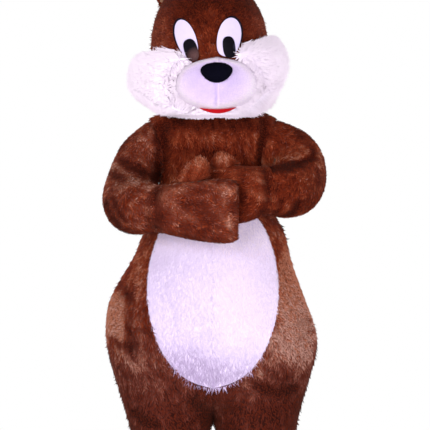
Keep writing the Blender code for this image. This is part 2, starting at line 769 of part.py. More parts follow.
def make_muzzle(white):
    """Two stuffed halves with a seam down the middle. Their sides turn under where they meet the head."""
    slopes = np.linspace(0, MUZZLE_TUCK, 8)[None, :]
    angles = np.linspace(-math.pi / 2, math.pi / 2, 11)[:, None]
    rise = MUZZLE["edge"] + (MUZZLE["ahead"] - MUZZLE["edge"]) * tucked_dome(slopes, MUZZLE_TUCK)
    for side, hand in ((1, "left"), (-1, "right")):
        x, z = muzzle_spot(side, np.sin(slopes) / math.sin(MUZZLE_TUCK), angles)
        beyond = slopes > math.pi / 2
        ahead = np.where(beyond, rise, muzzle_ahead(x, z))
        base, _ = face_points(x, z)
        outer = base - np.stack([0 * x, ahead, 0 * x], axis=-1)
        seat, _ = face_points(*muzzle_spot(side, slopes / MUZZLE_TUCK, angles))
        cloth(f"muzzle_{hand}", on_head(outer), on_head(seat - [0, 4 * SEAM, 0]), white)


def smooth_loop(values):
    """A closed loop of values with a smooth in-between value after each."""
    between = (9 * (values + np.roll(values, -1)) - np.roll(values, 1) - np.roll(values, -2)) / 16
    return np.stack([values, between], axis=-1).reshape(-1)


def make_cheek(side, hand, white):
    """A stuffed cheek that begins at the muzzle's edge and bulges over the head's side."""
    cheek = CHEEKS[side]
    outline = read_table(CHEEK_COLUMNS, CHEEK_OUTLINES[side])
    outline = {name: smooth_loop(values) for name, values in outline.items()}
    middle_turn, middle_height = cheek["middle"]
    slopes = np.linspace(0, CHEEK_TUCK, 7)[:, None]

    def spot(share):
        turns = side * np.radians(middle_turn + share * (outline["turn"] - middle_turn))
        heights = middle_height + share * (outline["height"] - middle_height)
        return head_surface(turns, heights), head_outward(turns, heights)

    base, normals = spot(np.sin(slopes) / math.sin(CHEEK_TUCK))
    full = 1 + cheek["lean"] * np.sin(slopes) * (outline["height"] - middle_height) / 0.1
    dome = cheek["edge"] + cheek["rise"] * tucked_dome(slopes, CHEEK_TUCK) * full
    seat, seat_normals = spot(slopes / CHEEK_TUCK)
    outer, inner = base + dome[..., None] * normals, seat + 6 * SEAM * seat_normals
    cloth(f"cheek_{hand}", on_head(outer), on_head(inner), white, closed=True)


def make_chin(white):
    """A stuffed roll under the mouth, on the head's lower front."""
    turns = np.arange(20) * 2 * math.pi / 20
    shares = np.sin(np.linspace(0, math.pi / 2, 4))[:, None]
    x = CHIN["x"] + CHIN["half_width"] * shares * np.cos(turns)
    z = CHIN["z"] + CHIN["half_height"] * shares * signed_power(np.sin(turns), 0.8)
    base, normals = face_points(x, z)
    dome = 0.008 + (CHIN["ahead"] - 0.008) * np.sqrt(np.clip(1 - shares**2, 0, 1)) + 0 * x
    ahead = np.stack([0 * x, dome, 0 * x], axis=-1)
    cloth("chin", on_head(base - ahead), on_head(base + 6 * SEAM * normals), white, closed=True)


def make_nose(black):
    """A rounded triangle over the top of the muzzle's seam."""
    turns = np.arange(18) * 2 * math.pi / 18
    shares = np.sin(np.linspace(0, math.pi / 2, 4))[:, None]
    tall = np.where(np.sin(turns) > 0, NOSE["up"], NOSE["down"])
    point = np.where(np.sin(turns) > 0, 1.0, 1.45)
    x = NOSE["x"] + NOSE["half_width"] * shares * signed_power(np.cos(turns), 0.92)
    z = NOSE["z"] + shares * tall * np.sign(np.sin(turns)) * np.abs(np.sin(turns)) ** point
    base = muzzle_surface(x, z)
    dome = 0.006 + (NOSE["ahead"] - 0.006) * np.sqrt(np.clip(1 - shares**2, 0, 1)) + 0 * x
    outer = base - np.stack([0 * x, dome, 0 * x], axis=-1)
    cloth("nose", on_head(outer), on_head(base - [0, 4 * SEAM, 0]), black, closed=True)


def make_mouth(red):
    """A thin smile in the fold between muzzle and chin."""
    across = np.linspace(-1, 1, 13)[:, None]
    down = np.array([0.0, 1.0])[None, :]
    x = MOUTH["x"] + MOUTH["half_width"] * across + 0 * down
    top = MOUTH["corner_z"] - MOUTH["sag"] * (1 - across**2)
    z = top - down * (0.001 + MOUTH["tall"] * (1 - across**2))
    base, _ = face_points(x, z)
    front = base - [0, CHIN["ahead"] + 0.007, 0]
    cloth("mouth", on_head(front), on_head(front + [0, 0.006, 0]), red)


def make_ear(side, hand, brown, tan, helper):
    """An ear leaf cut to the head's form at its root, and its lining laid on the front."""
    ear = read_table(EAR_COLUMNS, EAR_ROWS)
    lean = EAR_LEANS[side]
    along = np.array([side * math.sin(lean), 0.0, math.cos(lean)])
    outward = np.array([math.cos(lean), 0.0, -side * math.sin(lean)])
    ahead = np.array([0.0, -1.0, 0.0])
    base = np.array(EAR_BASES[side])
    share = np.linspace(-1, 1, 7)

    def leaf(at, trim, lift):
        half = curve(at, ear["along"], ear["half_width"]) * trim
        cup = curve(at, ear["along"], ear["cup"])
        lengths = at[:, None, None] * along
        widths = half[:, None, None] * share[None, :, None] * outward
        depths = (cup[:, None] * (share**2)[None, :] * trim + lift)[..., None] * ahead
        return base + lengths + widths + depths

    at = np.linspace(0, ear["along"][-1], 12)
    front, back = leaf(at, 1.0, 0.0), leaf(at, 1.0, -EAR_WALL)
    piece = cloth(f"ear_{hand}", on_head(front), on_head(back), brown)
    lining_at = np.linspace(0.0, ear["along"][-1] * 0.93, 10)
    low, high = leaf(lining_at, 0.74, 2 * SEAM), leaf(lining_at, 0.74, 2 * SEAM + EAR_LINING)
    lining = cloth(f"ear_lining_{hand}", on_head(high), on_head(low), tan)
    for part in (piece, lining):
        cut = part.modifiers.new("head_form", "BOOLEAN")
        cut.operation = "DIFFERENCE"
        cut.object = helper


def make_foot(side, hand, brown, rubber):
    """A plush upper open at the ankle, over a flat rubber sole."""
    foot = read_table(FOOT_COLUMNS, FOOT_ROWS)
    turns = np.arange(16) * 2 * math.pi / 16
    centre = side * FOOT_X
    outers, inners = [], []
    for row in range(len(foot["height"])):
        for wall, into in ((0.0, outers), (PLUSH, inners)):
            x = centre + (foot["half_width"][row] - wall) * signed_power(np.sin(turns), 0.8)
            y = foot["middle"][row] + (foot["half_length"][row] - wall) * signed_power(np.cos(turns), 0.85)
            into.append(np.stack([x, y, foot["height"][row] + 0 * x], axis=-1))
    for height in SHAFT_HEIGHTS:
        for wall, into in ((PLUSH + 2 * SEAM, outers), (2 * PLUSH, inners)):
            into.append(ankle_ring(side, height, wall, turns))
    cloth(f"foot_{hand}", np.array(outers), np.array(inners), brown, closed=True)
    make_sole(side, hand, foot, rubber)


def ankle_ring(side, height, wall, turns):
    """A ring inside the leg's hem, wall deep from the cloth's outer face."""
    ring = []
    for turn in turns:
        face = 1 if math.cos(turn) >= 0 else -1
        across = np.array(0.5 + math.asin(side * math.sin(turn)) / math.pi)
        outer = suit_surface(side, face, across, np.array(height))
        normal = suit_outward(side, face, across, np.array(height))
        ring.append(outer - wall * normal)
    return np.array(ring)


def make_box(name, centre, size, tilt, finish):
    bpy.ops.mesh.primitive_cube_add(size=1, location=centre, rotation=(tilt, 0, 0))
    return take_in(name, size, finish)


def make_rod(name, centre, radius, length, finish):
    bpy.ops.mesh.primitive_cylinder_add(
        vertices=12, radius=radius, depth=length, location=centre, rotation=(0, math.pi / 2, 0)
    )
    return take_in(name, (1, 1, 1), finish)


def take_in(name, size, finish):
    """Names the new primitive, sizes its mesh and puts it in the costume's collection."""
    piece = bpy.context.object
    piece.name = piece.data.name = name
    for point in piece.data.vertices:
        point.co = [value * scale for value, scale in zip(point.co, size)]
    piece.data.materials.append(finish)
    for group in list(piece.users_collection):
        group.objects.unlink(piece)
    bpy.data.collections[COLLECTION].objects.link(piece)
    return piece


def join_to(piece, others, cutters, operation="UNION"):
    """Joins helper shapes to a piece, or cuts them from it, and keeps them out of sight."""
    for other in others:
        bpy.data.collections[COLLECTION].objects.unlink(other)
        cutters.objects.link(other)
        other.hide_render = True
        other.display_type = "WIRE"
        step = piece.modifiers.new(other.name, "BOOLEAN")
        step.operation = operation
        step.object = other


def back_line(height, lift):
    """A point on the centre-back line, lifted off the suit, with its outward direction."""
    outer = suit_surface(1, 1, np.array(0.0), np.array(height))
    normal = suit_outward(1, 1, np.array(0.0), np.array(height))
    normal[0] = 0.0
    normal = unit(normal)
    return np.array([0.0, outer[1], outer[2]]) + lift * normal, normal


def make_zip(tape, metal, cutters):
    """A zip up the centre back: woven tape, a slider, and a pull tab that swings on the slider's pin."""
    heights = suit_heights()
    heights = heights[(heights < ZIP_TOP) & (heights > ZIP_BOTTOM)]
    outers, inners = [], []
    for side, x in ((-1, ZIP_HALF), (1, 0.0), (1, ZIP_HALF)):
        across = across_at(side, 1, x, heights)
        outer, _ = suit_wall(side, 1, across, heights)
        normal = suit_outward(side, 1, across, heights)
        inners.append(outer + 2 * SEAM * normal)
        outers.append(outer + (2 * SEAM + ZIP_TAPE) * normal)
    cloth("zip_tape", np.stack(outers, axis=1), np.stack(inners, axis=1), tape)

    base = 3 * SEAM + ZIP_TAPE
    _, normal = back_line(SLIDER_AT, 0)
    tilt = math.atan2(normal[2], normal[1])
    upward = np.array([0.0, -normal[2], normal[1]])

    def off_tape(lift, rise=0.0, x=0.0):
        point, _ = back_line(SLIDER_AT, base + lift)
        return point + rise * upward + [x, 0, 0]

    body_size = (SLIDER["wide"], SLIDER["deep"], SLIDER["long"])
    slider = make_box("zip_slider", off_tape(SLIDER["deep"] / 2), body_size, tilt, metal)
    pin_at = off_tape(SLIDER["deep"] + PIN_RISE)
    lug_size = (LUG_THICK, PIN_RISE + 0.0035, 0.005)
    lugs = [
        make_box(f"lug_{hand}", off_tape(SLIDER["deep"] + PIN_RISE / 2, x=side * LUG_X), lug_size, tilt, metal)
        for side, hand in ((1, "left"), (-1, "right"))
    ]
    pin = make_rod("slider_pin", pin_at, PIN_RADIUS, 2 * LUG_X, metal)
    join_to(slider, [*lugs, pin], cutters)

    tab_size = (PULL["wide"], PULL["thick"], PULL["long"])
    tab = make_box("zip_pull", pin_at - PULL["long"] / 2 * upward, tab_size, tilt, metal)
    eye = make_rod("pull_eye", pin_at, EYE_RADIUS, EYE_LENGTH, metal)
    hole = make_rod("pull_hole", pin_at, PIN_RADIUS + 2 * SEAM, 0.02, metal)
    join_to(tab, [eye], cutters)
    join_to(tab, [hole], cutters, "DIFFERENCE")
    relief_size = (2 * (LUG_X - EYE_LENGTH / 2) + 0.001, 0.012, 0.010)
    for side, hand in ((1, "left"), (-1, "right")):
        relief_at = pin_at + [side * (LUG_X + 0.0005), 0, 0]
        relief = make_box(f"pull_relief_{hand}", relief_at, relief_size, tilt, metal)
        join_to(tab, [relief], cutters, "DIFFERENCE")


def make_sole(side, hand, foot, rubber):
    turns = np.arange(24) * 2 * math.pi / 24
    rings = ((FLOOR, 0.93), (FLOOR + 0.004, 1.0), (FLOOR + SOLE, 1.0))
    outers = []
    for height, share in rings:
        x = side * FOOT_X + foot["half_width"][0] * share * signed_power(np.sin(turns), 0.8)
        y = foot["middle"][0] + foot["half_length"][0] * share * signed_power(np.cos(turns), 0.85)
        outers.append(np.stack([x, y, height + 0 * x], axis=-1))
    verts = np.concatenate(outers)
    steps = len(turns)
    faces = [tuple(range(steps)), tuple(range(2 * steps, 3 * steps))]
    for ring in range(2):
        for turn in range(steps):
            after = (turn + 1) % steps
            low, high = ring * steps, (ring + 1) * steps
            faces.append((low + turn, low + after, high + after, high + turn))
    place_object(f"sole_{hand}", verts, faces, rubber)


def finish(name, colour, roughness, metallic=0.0):
    made = bpy.data.materials.new(name)
    made.use_nodes = True
    shader = made.node_tree.nodes["Principled BSDF"]
    shader.inputs["Base Color"].default_value = (*colour, 1.0)
    shader.inputs["Roughness"].default_value = roughness
    shader.inputs["Metallic"].default_value = metallic
    made.diffuse_color = (*colour, 1.0)
    return made


def main():
    for old in list(bpy.data.objects):
        bpy.data.objects.remove(old)
    parts = bpy.data.collections.new(COLLECTION)
    cutters = bpy.data.collections.new("cutters")
    for group in (parts, cutters):
        bpy.context.scene.collection.children.link(group)
    brown = finish("brown_plush", BROWN, 0.9)
    white = finish("white_plush", WHITE, 0.9)
    tan = finish("tan_plush", (0.50, 0.30, 0.18), 0.9)
    felt_white = finish("white_felt", (0.80, 0.76, 0.86), 0.8)
    felt_black = finish("black_felt", (0.01, 0.01, 0.012), 0.8)
    mesh_black = finish("black_mesh", (0.02, 0.015, 0.02), 0.45)
    nose_black = finish("black_plush", (0.006, 0.006, 0.010), 0.7)
    red = finish("red_felt", (0.60, 0.01, 0.015), 0.7)
    rubber = finish("sole_rubber", (0.05, 0.03, 0.02), 0.8)
    tape = finish("zip_tape", (0.10, 0.045, 0.025), 0.8)
    metal = finish("zip_metal", (0.45, 0.40, 0.34), 0.35, 1.0)

    make_suit(brown)
    make_belly(white)
    helper = make_head(brown)
    parts.objects.unlink(helper)
    cutters.objects.link(helper)
    helper.hide_render = True
    helper.display_type = "WIRE"
    for side, hand in ((1, "left"), (-1, "right")):
        make_sleeve(side, hand, brown)
        mitt = make_mitt(side, hand, brown)
        make_thumb(side, hand, brown, mitt, cutters)
        make_eye(side, hand, felt_white, felt_black, mesh_black)
        make_cheek(side, hand, white)
        make_ear(side, hand, brown, tan, helper)
        make_foot(side, hand, brown, rubber)
    make_zip(tape, metal, cutters)
    make_muzzle(white)
    make_chin(white)
    make_nose(nose_black)
    make_mouth(red)


main()
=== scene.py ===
"""Looks of the rabbit mascot costume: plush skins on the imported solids, the pile that stands on them,
felt, mesh, zip teeth, seams, light, floor and camera. Metres, in the frame of the part.
"""

import itertools
import json
import math

import bmesh
import bpy
import numpy as np
from mathutils import Matrix, Vector
from mathutils.bvhtree import BVHTree

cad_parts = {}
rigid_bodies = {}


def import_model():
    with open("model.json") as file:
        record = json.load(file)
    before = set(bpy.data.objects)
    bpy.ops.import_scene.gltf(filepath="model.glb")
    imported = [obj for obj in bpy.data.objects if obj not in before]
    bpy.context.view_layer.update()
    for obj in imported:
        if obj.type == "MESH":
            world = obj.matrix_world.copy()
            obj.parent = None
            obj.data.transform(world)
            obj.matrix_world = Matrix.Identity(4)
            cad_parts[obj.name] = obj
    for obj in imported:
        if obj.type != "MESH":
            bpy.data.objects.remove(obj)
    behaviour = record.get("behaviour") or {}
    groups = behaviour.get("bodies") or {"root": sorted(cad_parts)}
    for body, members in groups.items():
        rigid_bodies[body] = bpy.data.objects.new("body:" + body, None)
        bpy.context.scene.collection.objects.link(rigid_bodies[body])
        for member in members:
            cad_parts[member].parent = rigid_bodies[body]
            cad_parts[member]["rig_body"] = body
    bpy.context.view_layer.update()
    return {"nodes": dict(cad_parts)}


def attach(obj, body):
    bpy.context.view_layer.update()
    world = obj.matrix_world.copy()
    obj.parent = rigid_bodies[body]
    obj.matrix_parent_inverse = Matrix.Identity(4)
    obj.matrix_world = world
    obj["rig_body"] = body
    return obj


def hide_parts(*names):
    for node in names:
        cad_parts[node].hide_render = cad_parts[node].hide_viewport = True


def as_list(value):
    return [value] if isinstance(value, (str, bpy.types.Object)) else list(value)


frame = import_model()
NODES = frame["nodes"]

UP = np.array([0.0, 0.0, 1.0])
DOWN = -UP
FRONT = np.array([0.0, -1.0, 0.0])
PILE_MAP = "OFBake"
GROUND_TINT = "ground_tint"
MM_PER_METRE = 1000.0

SIDES = ("_left", "_right")
HALVES = ("_front", "_back")
WHOLE = ("",)


def by_solid(rows):
    """A table with a row for each family of solids, spread out to a row for each solid."""
    return {family + end: values for family, ends, *values in rows for end in ends}


# Cloth of each solid: finish, levels of smoothing, and how far the skin lies below the tips of the pile
PLUSH_SKINS = by_solid((
    ("suit_front", SIDES, "brown", 2, 0.0045),
    ("suit_back", SIDES, "brown", 2, 0.0045),
    ("sleeve", SIDES, "brown", 2, 0.0045),
    ("mitt", SIDES, "brown", 1, 0.0045),
    ("thumb", SIDES, "brown", 1, 0.0045),
    ("foot", SIDES, "brown", 1, 0.0045),
    ("head", HALVES, "brown", 2, 0.0045),
    ("ear", SIDES, "brown", 1, 0.0035),
    ("ear_lining", SIDES, "tan", 1, 0.0020),
    ("belly", SIDES, "belly", 2, 0.0040),
    ("cheek", SIDES, "long", 1, 0.0115),
    ("chin", WHOLE, "long", 1, 0.0060),
    ("muzzle", SIDES, "short", 2, 0.0015),
    ("nose", WHOLE, "nose", 2, 0.0010),
))
TRIM_SKINS = by_solid((
    ("eye_white", SIDES, "felt_white", 2),
    ("eye_edge", SIDES, "felt_black", 2),
    ("pupil_left", WHOLE, "pupil_left", 2),
    ("pupil_right", WHOLE, "pupil_right", 2),
    ("mouth", WHOLE, "felt_red", 2),
    ("zip_tape", WHOLE, "tape", 1),
    ("sole", SIDES, "rubber", 1),
))


class Term:
    """A socket that takes part in sums as a number does."""

    def __init__(self, finish, socket):
        self.finish, self.socket = finish, socket

    def maths(self, operation, *values):
        sockets = dict(enumerate(values))
        return self.finish.node("ShaderNodeMath", {"operation": operation}, sockets)

    def __add__(self, other):
        return self.maths("ADD", self, other)

    def __sub__(self, other):
        return self.maths("SUBTRACT", self, other)

    def __rsub__(self, other):
        return self.maths("SUBTRACT", other, self)

    def __mul__(self, other):
        return self.maths("MULTIPLY", self, other)

    def __truediv__(self, other):
        return self.maths("DIVIDE", self, other)

    __radd__ = __add__
    __rmul__ = __mul__

    def kept(self):
        """Kept between 0 and 1."""
        return self.maths("MAXIMUM", self.maths("MINIMUM", self, 1.0), 0.0)

    def wave(self):
        return self.maths("SINE", self)


class Finish:
    """A material of the costume and the nodes that make it."""

    def __init__(self, name, **constants):
        self.material = bpy.data.materials.new(name)
        self.material.use_nodes = True
        self.tree = self.material.node_tree
        self.shader = self.tree.nodes["Principled BSDF"]
        for socket, value in constants.items():
            self.shader.inputs[socket.replace("_", " ")].default_value = value

    def node(self, kind, settings=None, sockets=None, out=0):
        """One node: its settings first, then the values or links of its sockets."""
        made = self.tree.nodes.new(kind)
        for name, value in (settings or {}).items():
            if name == "stops":
                self.fill_ramp(made.color_ramp, value)
            else:
                setattr(made, name, value)
        for name, value in (sockets or {}).items():
            self.feed(made.inputs[name], value)
        return Term(self, made.outputs[out])

    def feed(self, socket, value):
        if isinstance(value, Term):
            self.tree.links.new(value.socket, socket)
        else:
            socket.default_value = value

    def fill_ramp(self, ramp, stops):
        while len(ramp.elements) < len(stops):
            ramp.elements.new(0.5)
        for element, (place, colour) in zip(ramp.elements, stops):
            element.position = place
            element.color = (*colour, 1.0)

    def place(self):
        return self.node("ShaderNodeTexCoord", out="Object")

    def stretched(self, scale):
        return self.node("ShaderNodeMapping", None, {"Vector": self.place(), "Scale": scale})

    def noise(self, scale, detail=2.0, roughness=0.5, vector=None):
        vector = vector or self.place()
        sockets = {"Vector": vector, "Scale": scale, "Detail": detail, "Roughness": roughness}
        return self.node("ShaderNodeTexNoise", None, sockets, "Fac")

    def cells(self, scale):
        sockets = {"Vector": self.place(), "Scale": scale}
        return self.node("ShaderNodeTexVoronoi", None, sockets, "Distance")

    def split(self, vector):
        return [self.node("ShaderNodeSeparateXYZ", None, {0: vector}, out) for out in range(3)]

    def ramp(self, factor, stops):
        return self.node("ShaderNodeValToRGB", {"stops": stops}, {0: factor}, "Color")

    def mixed(self, factor, low, high, blend="MIX"):
        low, high = ((*colour, 1.0) if isinstance(colour, tuple) else colour for colour in (low, high))
        settings = {"data_type": "RGBA", "blend_type": blend}
        return self.node("ShaderNodeMix", settings, {0: factor, 6: low, 7: high}, 2)

    def colour(self, *mix):
        """The cloth's colour: a factor and the two colours that it mixes."""
        self.feed(self.shader.inputs["Base Color"], self.mixed(*mix))

    def rough(self, value):
        self.feed(self.shader.inputs["Roughness"], value)

    def bumps(self, height, depth, strength=1.0):
        sockets = {"Height": height, "Distance": depth, "Strength": strength}
        bump = self.node("ShaderNodeBump", None, sockets, "Normal")
        self.feed(self.shader.inputs["Normal"], bump)


def plush_finish(name, sheen, sheen_weight, sheen_roughness, roughness):
    return Finish(
        name,
        Roughness=roughness,
        Sheen_Weight=sheen_weight,
        Sheen_Roughness=sheen_roughness,
        Sheen_Tint=(*sheen, 1.0),
        Specular_IOR_Level=0.04,
    )


def ground_relief(finish):
    """Raises the streaks and grain of a plush's ground, and gives them for its colour."""
    streaks = finish.noise(170.0, 3.0, 0.6, finish.stretched((1.0, 1.0, 0.35)))
    grain = finish.noise(700.0)
    finish.bumps(streaks * 0.7 + grain * 0.3, 0.003)
    return streaks, grain


def plush_ground(name, sheen, sheen_weight, dark, light):
    """The woven ground of a plush with the roots of its pile, between two shades."""
    finish = plush_finish(name, sheen, sheen_weight, 0.6, 0.95)
    streaks, grain = ground_relief(finish)
    patches = finish.noise(9.0)
    share = (patches * 0.8 + streaks * 0.9 + grain * 0.3 - 0.5).kept()
    finish.colour(share, dark, light)
    return finish.material


def worn_ground(name, sheen, sheen_weight, low, high):
    """A ground that follows the tones of the pile on it, between two factors."""
    finish = plush_finish(name, sheen, sheen_weight, 0.6, 0.95)
    streaks, grain = ground_relief(finish)
    tint = finish.node("ShaderNodeVertexColor", {"layer_name": GROUND_TINT}, None, "Color")
    worn = finish.ramp((streaks * 0.7 + grain * 0.3).kept(), ((0.3, (low,) * 3), (0.7, (high,) * 3)))
    finish.colour(1.0, tint, worn, "MULTIPLY")
    return finish.material


def pile_finish(name, sheen, sheen_weight, root, stops):
    """Locks of pile, painted darker towards the root as shade of the pile's depth. The piece's own map holds
    each lock's tone across and the way from root to tip up.
    """
    finish = plush_finish(name, sheen, sheen_weight, 0.4, 0.8)
    spot = finish.node("ShaderNodeUVMap", {"uv_map": PILE_MAP})
    tone, along, _ = finish.split(spot)
    colour = finish.ramp(tone, stops)
    # Painted shade: the root colour near the root, the tone's colour towards the tip.
    finish.colour((along * 1.6).kept(), root, colour)
    return finish.material


def backing_finish(name, colour, scale=900.0):
    """Knitted backing or foam, inside the costume."""
    finish = Finish(name, Roughness=0.95)
    cells = finish.cells(scale)
    finish.colour(cells.kept(), colour, tuple(part * 0.6 for part in colour))
    finish.bumps(cells, 0.0006)
    return finish.material


def felt_finish(name, colour, fleck, sheen_weight=0.2, roughness=0.9):
    finish = Finish(
        name,
        Roughness=roughness,
        Sheen_Weight=sheen_weight,
        Sheen_Roughness=0.5,
        Specular_IOR_Level=0.1,
    )
    fibres = finish.noise(900.0, 4.0, 0.7)
    cloud = finish.noise(60.0)
    finish.colour((fibres * 0.9 + cloud * 0.5 - 0.25).kept(), colour, fleck)
    finish.bumps(fibres, 0.0007)
    return finish.material


def pupil_finish(name, painted_reflection, reflection_at, reflection_reach):
    """Black mesh over the eye's hole, with a painted reflection on part of it."""
    finish = Finish(name, Roughness=0.4, Specular_IOR_Level=0.05)
    # Painted reflection: lighter near a point of the pupil, fading out over its reach.
    sockets = {0: finish.place(), 1: reflection_at}
    shift = finish.node("ShaderNodeVectorMath", {"operation": "DISTANCE"}, sockets, "Value")
    reflection_share = (1.0 - shift / reflection_reach).kept()
    holes = finish.cells(620.0)
    base = finish.mixed((reflection_share * 1.3).kept(), (0.004, 0.003, 0.006), painted_reflection)
    finish.colour(((0.55 - holes) * 1.4).kept(), base, (0.001, 0.001, 0.002))
    finish.bumps(holes, 0.0006)
    return finish.material


def tape_finish(name):
    finish = Finish(name, Roughness=0.85, Specular_IOR_Level=0.2)
    x, _, z = finish.split(finish.place())
    weave = (z * 5200.0).wave() * 0.5 + (x * 6500.0).wave() * 0.5
    cloud = finish.noise(80.0)
    share = (weave * 0.3 + cloud * 0.5 + 0.2).kept()
    finish.colour(share, (0.035, 0.014, 0.008), (0.115, 0.050, 0.028))
    finish.bumps(weave, 0.0003)
    return finish.material


def metal_finish(name, colour):
    finish = Finish(name, Metallic=1.0)
    wear = finish.noise(420.0, 4.0, 0.6)
    finish.colour(wear, colour, tuple(part * 0.55 for part in colour))
    finish.rough(wear * 0.35 + 0.22)
    finish.bumps(wear, 0.0001)
    return finish.material


def rubber_finish(name):
    finish = Finish(name)
    dust = finish.noise(35.0, 4.0, 0.6)
    grain = finish.noise(900.0)
    finish.colour((dust * 1.4 - 0.3).kept(), (0.030, 0.022, 0.018), (0.095, 0.070, 0.055))
    finish.rough(dust * 0.3 + 0.55)
    _, y, _ = finish.split(finish.place())
    finish.bumps((y * 480.0).wave() * 0.5 + grain * 0.2, 0.0012)
    return finish.material


# Sheen of the cloths: its tints, and the weight of a faint one
FAINT = 0.04
WHITE_SHEEN = (1.0, 0.95, 1.0)
ROSE_SHEEN = (1.0, 0.92, 1.0)
BLUE_SHEEN = (0.2, 0.25, 0.5)

FINISHES = {
    "brown": worn_ground("brown_plush_ground", (1.0, 0.45, 0.30), FAINT, 0.55, 1.1),
    "tan": plush_ground("tan_plush_ground", (1.0, 0.85, 0.75), FAINT, (0.26, 0.12, 0.06), (0.52, 0.30, 0.18)),
    "belly": plush_ground("white_belly_ground", WHITE_SHEEN, FAINT, (0.66, 0.58, 0.78), (0.82, 0.73, 0.90)),
    "long": plush_ground("white_long_ground", WHITE_SHEEN, FAINT, (0.84, 0.74, 0.88), (0.94, 0.88, 0.98)),
    "short": worn_ground("white_short_ground", ROSE_SHEEN, 0.35, 0.9, 1.0),
    "nose": plush_ground("black_plush_ground", BLUE_SHEEN, 0.0, (0.001, 0.001, 0.003), (0.003, 0.003, 0.009)),
    "knit": backing_finish("knitted_backing", (0.10, 0.055, 0.035)),
    "foam": backing_finish("head_foam", (0.55, 0.50, 0.36), 500.0),
    "felt_white": felt_finish("white_felt", (0.62, 0.56, 0.82), (0.74, 0.67, 0.90)),
    "felt_black": felt_finish("black_felt", (0.003, 0.002, 0.006), (0.010, 0.008, 0.014), 0.0),
    "felt_red": felt_finish("red_felt", (0.36, 0.002, 0.006), (0.52, 0.008, 0.016), 0.0),
    # The pupils carry painted reflections: a bluish one on the left pupil, a brownish one on the right pupil.
    "pupil_left": pupil_finish("black_mesh_left", (0.05, 0.05, 0.09), (0.075, -0.21, 0.200), 0.016),
    "pupil_right": pupil_finish("black_mesh_right", (0.14, 0.070, 0.066), (-0.052, -0.21, 0.170), 0.032),
    "tape": tape_finish("woven_tape"),
    "metal": metal_finish("zip_metal", (0.52, 0.46, 0.38)),
    "rubber": rubber_finish("sole_rubber"),
    "coil": felt_finish("zip_coil", (0.050, 0.018, 0.010), (0.100, 0.040, 0.024), 0.0, 0.5),
    "thread": felt_finish("thread", (0.060, 0.020, 0.010), (0.140, 0.055, 0.030), 0.0, 0.7),
}
RUST_STOPS = (
    (0.0, (0.045, 0.005, 0.002)),
    (0.30, (0.108, 0.013, 0.004)),
    (0.55, (0.182, 0.026, 0.008)),
    (0.80, (0.300, 0.067, 0.026)),
    (1.0, (0.460, 0.175, 0.100)),
)
MAUVE_STOPS = (
    (0.0, (0.040, 0.008, 0.005)),
    (0.30, (0.090, 0.020, 0.013)),
    (0.55, (0.165, 0.049, 0.034)),
    (0.80, (0.340, 0.140, 0.095)),
    (1.0, (0.560, 0.320, 0.250)),
)
RUST_PART = 0.49
BROWN_STOPS = (
    *((RUST_PART * place, colour) for place, colour in RUST_STOPS),
    *((1 - RUST_PART + RUST_PART * place, colour) for place, colour in MAUVE_STOPS),
)
WHITE_STOPS = (
    (0.0, (0.90, 0.79, 0.95)),
    (0.5, (0.98, 0.88, 1.00)),
    (1.0, (1.00, 0.93, 1.00)),
)
SHORT_STOPS = (
    (0.0, (0.49, 0.40, 0.66)),
    (0.5, (0.72, 0.60, 0.85)),
    (1.0, (0.95, 0.83, 1.00)),
)
BELLY_STOPS = (
    (0.0, (0.40, 0.31, 0.50)),
    (0.3, (0.70, 0.61, 0.82)),
    (0.5, (0.80, 0.72, 0.90)),
    (0.75, (0.89, 0.77, 0.91)),
    (1.0, (0.95, 0.85, 0.95)),
)
TAN_STOPS = (
    (0.0, (0.42, 0.24, 0.14)),
    (1.0, (0.74, 0.50, 0.34)),
)
BLACK_STOPS = (
    (0.0, (0.002, 0.002, 0.005)),
    (1.0, (0.002, 0.002, 0.008)),
)
# The fourth value of each pile is its root colour, painted shade of the pile's depth.
PILES = {
    "brown": pile_finish("brown_pile", (1.0, 0.50, 0.35), FAINT, (0.100, 0.014, 0.004), BROWN_STOPS),
    "tan": pile_finish("tan_pile", (1.0, 0.9, 0.8), FAINT, (0.22, 0.11, 0.06), TAN_STOPS),
    "belly": pile_finish("white_belly_pile", (1.0, 0.96, 1.0), FAINT, (0.66, 0.57, 0.78), BELLY_STOPS),
    "long": pile_finish("white_long_pile", ROSE_SHEEN, 0.30, (0.92, 0.85, 0.97), WHITE_STOPS),
    "short": pile_finish("white_short_pile", ROSE_SHEEN, 0.35, (0.70, 0.58, 0.82), SHORT_STOPS),
    "nose": pile_finish("black_pile", (0.3, 0.35, 0.6), 0.0, (0.001, 0.001, 0.002), BLACK_STOPS),
}


def unit(vectors):
    return vectors / np.maximum(np.linalg.norm(vectors, axis=-1, keepdims=True), 1e-12)


def ease(share):
    share = np.clip(share, 0.0, 1.0)
    return share * share * (3 - 2 * share)


def cloudy(points, patch, seed):
    """Smooth noise from 0 to 1 over points, with patches about that size."""
    cell = points / patch
    base = np.floor(cell).astype(np.int64)
    share = ease(cell - base)
    total = np.zeros(len(points))
    for corner in itertools.product((0, 1), repeat=3):
        at = base + corner
        mixed = (at[:, 0] * 73856093) ^ (at[:, 1] * 19349663) ^ (at[:, 2] * 83492791) ^ (seed * 9781)
        mixed = (mixed * 2654435761 + 12345) & 0xFFFFFFFF
        mixed = (mixed ^ (mixed >> 15)) * 2246822519 & 0xFFFFFFFF
        value = (mixed >> 8) / float(1 << 24)
        total += value * np.prod(np.where(corner, share, 1 - share), axis=1)
    return total


def read(items, name, width=1, kind=np.int32):
    """One property of all the points, faces or triangles of a mesh."""
    found = np.empty(len(items) * width, kind)
    items.foreach_get(name, found)
    return found


def points_of(mesh):
    return read(mesh.vertices, "co", 3, np.float32).reshape(-1, 3).astype(float)


def normals_of(mesh):
    return read(mesh.vertices, "normal", 3, np.float32).reshape(-1, 3).astype(float)


